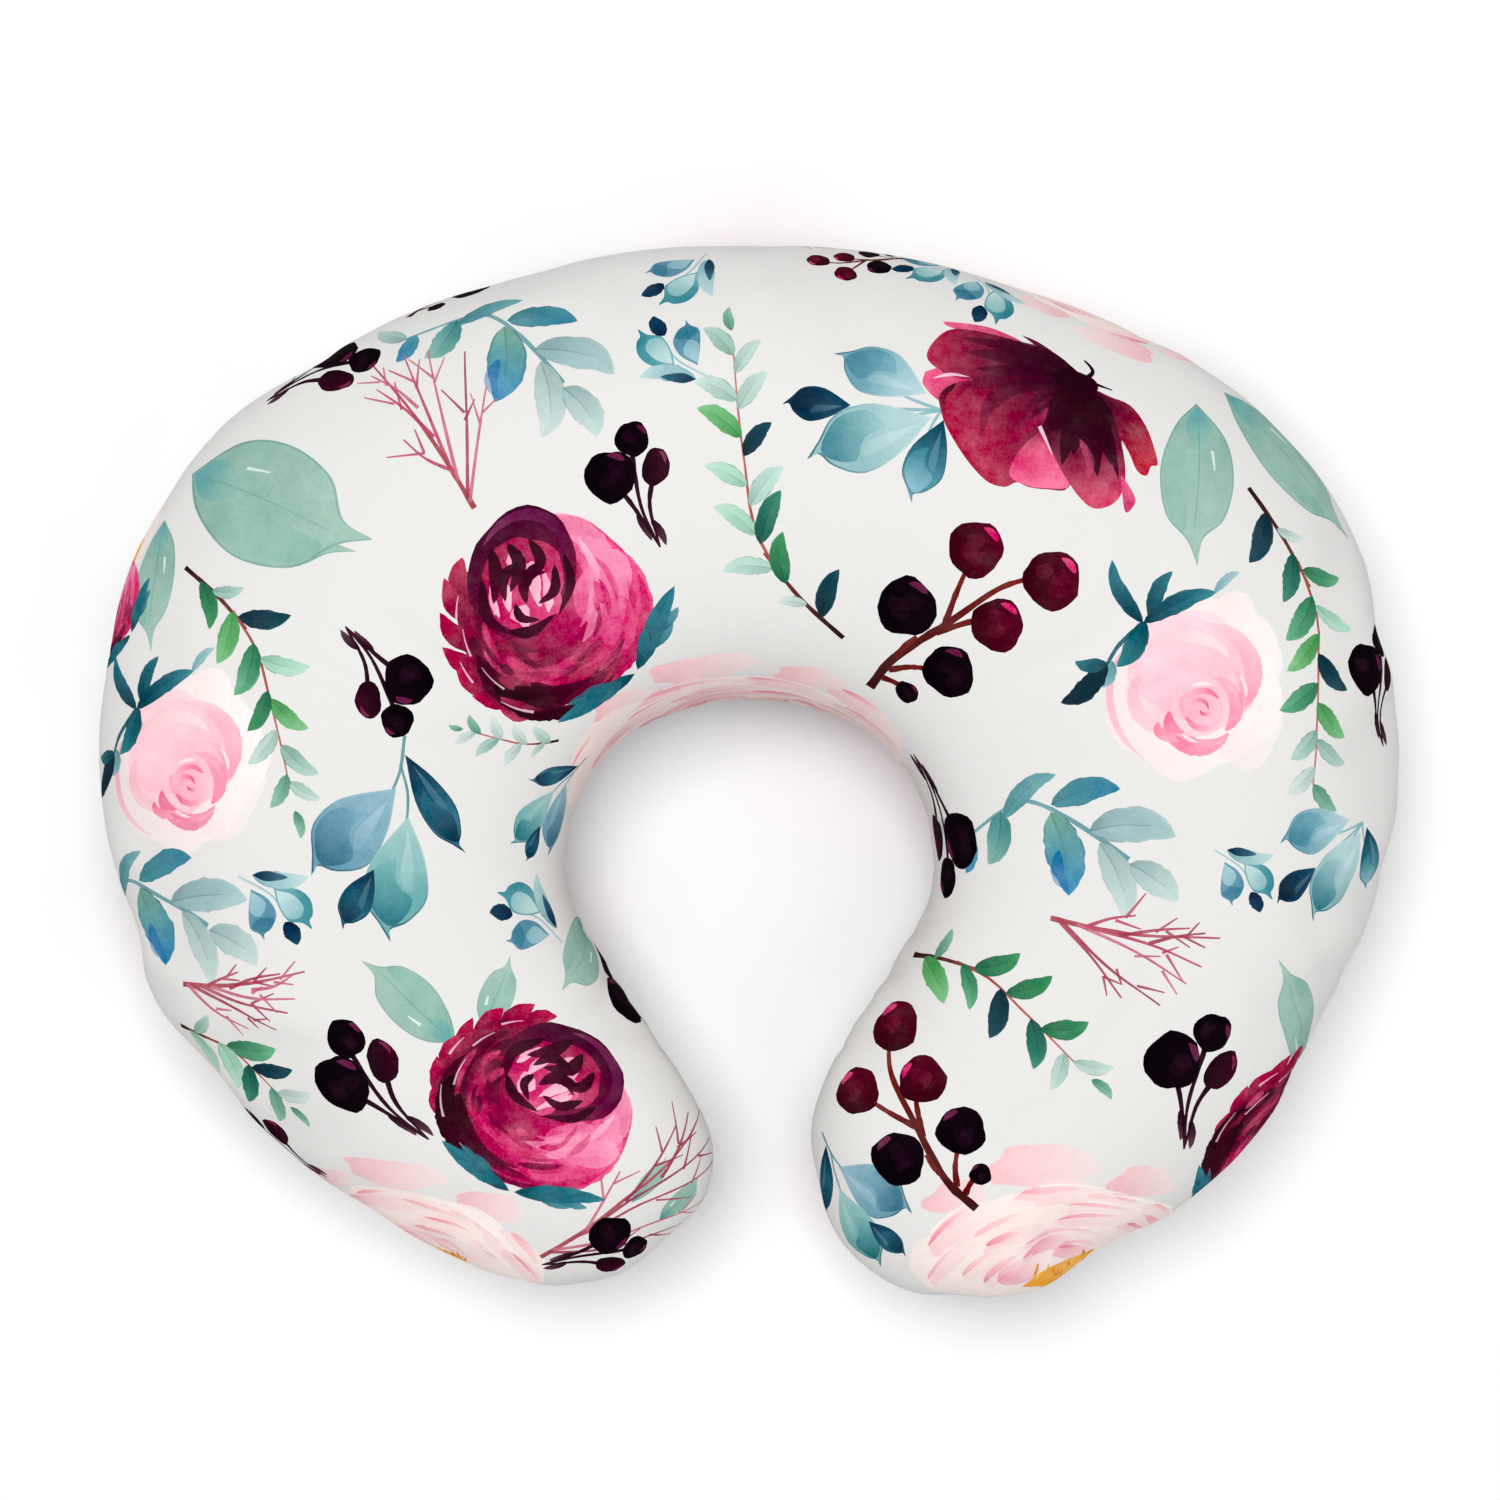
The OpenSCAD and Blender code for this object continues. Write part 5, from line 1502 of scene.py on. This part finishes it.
# the cover's two panels are sewn together wherever there is no lip
sewn = [q for q in range(sp.count) if sp.lip[q] < 0.02]
first = next(i for i, q in enumerate(sewn) if sp.lip[q - 1] >= 0.02)
piece("cover_overlock", overlock(SEAM_INSET + ALLOWANCE + BEAD_GAP, sewn[first:] + sewn[:first], False),
      M_THREAD, "cover_overlock_thread")
all_round = list(range(sp.count)) + [0]
piece("casing_overlock", overlock(casing_seam + ALLOWANCE + BEAD_GAP, all_round, True), M_THREAD,
      "casing_overlock_thread")
INNER_R = INNER[0][0]
CLOSE_STITCHES, CLOSE_STEP, CLOSE_HALF = 10, 1.9, 1.4
close_r, close_y = INNER_R + casing_seam - 1.7, IN_Y + SHIFT - INNER_R
steps = np.arange(-CLOSE_STITCHES, CLOSE_STITCHES + 1)
a = np.radians(steps * CLOSE_STEP)
zigzag = np.column_stack([close_r * np.sin(a), close_y + close_r * np.cos(a),
                          SEAM_Z - CLOSE_HALF * (-1.0) ** steps])
piece("hand_stitches", tube(zigzag, 0.33), M_THREAD, "casing_closing_stitches")
rounded("care_label", "cover_care_label", M_LABEL, width=0.05)
rounded("law_label", "casing_law_label", M_LABEL, width=0.05)


# ---------------------------------------------------------------- floor, light, camera
def build_floor():
    """A wide sheet of white paper."""
    n = Nodes("floor_paper", Roughness=0.9, Specular_IOR_Level=0.1)
    n.link(n.mix(n.noise(30, 2, 0.5, n.coords()), (0.97, 0.97, 0.97, 1), (0.95, 0.95, 0.95, 1)),
           "Base Color")
    half, z = 6, -0.0005
    corners = [(-half, -half, z), (half, -half, z), (half, half, z), (-half, half, z)]
    new_object("floor", corners, [(0, 1, 2, 3)], n.mat)


def softbox(name, place, size, power):
    """A square lamp that points at the middle of the pillow."""
    lamp = bpy.data.lights.new(name, "AREA")
    lamp.size, lamp.energy = size, power
    ob = add_object(name, lamp)
    ob.location = place
    ob.rotation_euler = (Vector((0, 0, 0.07)) - Vector(place)).to_track_quat("-Z", "Y").to_euler()


WORLD_LIGHT = 0.42
build_floor()
world = bpy.data.worlds.new("studio")
scene.world = world
world.use_nodes = True
background = world.node_tree.nodes["Background"]
background.inputs["Color"].default_value = (1, 1, 1, 1)
background.inputs["Strength"].default_value = WORLD_LIGHT
softbox("key", (-0.25, 0.35, 2.6), 1.3, 44.5)
softbox("fill", (1.2, -1.0, 2.1), 1.8, 9)
scene.view_settings.view_transform = "Standard"

cam = bpy.data.cameras.new("camera")
cam.lens, cam.sensor_width = 100, 36
cam.clip_start, cam.clip_end = 0.05, 20
camera = add_object("camera", cam)
camera.location = (0, CENTRE[1] * MM, WIDE_Z * MM + CAMERA_UP)
scene.camera = camera
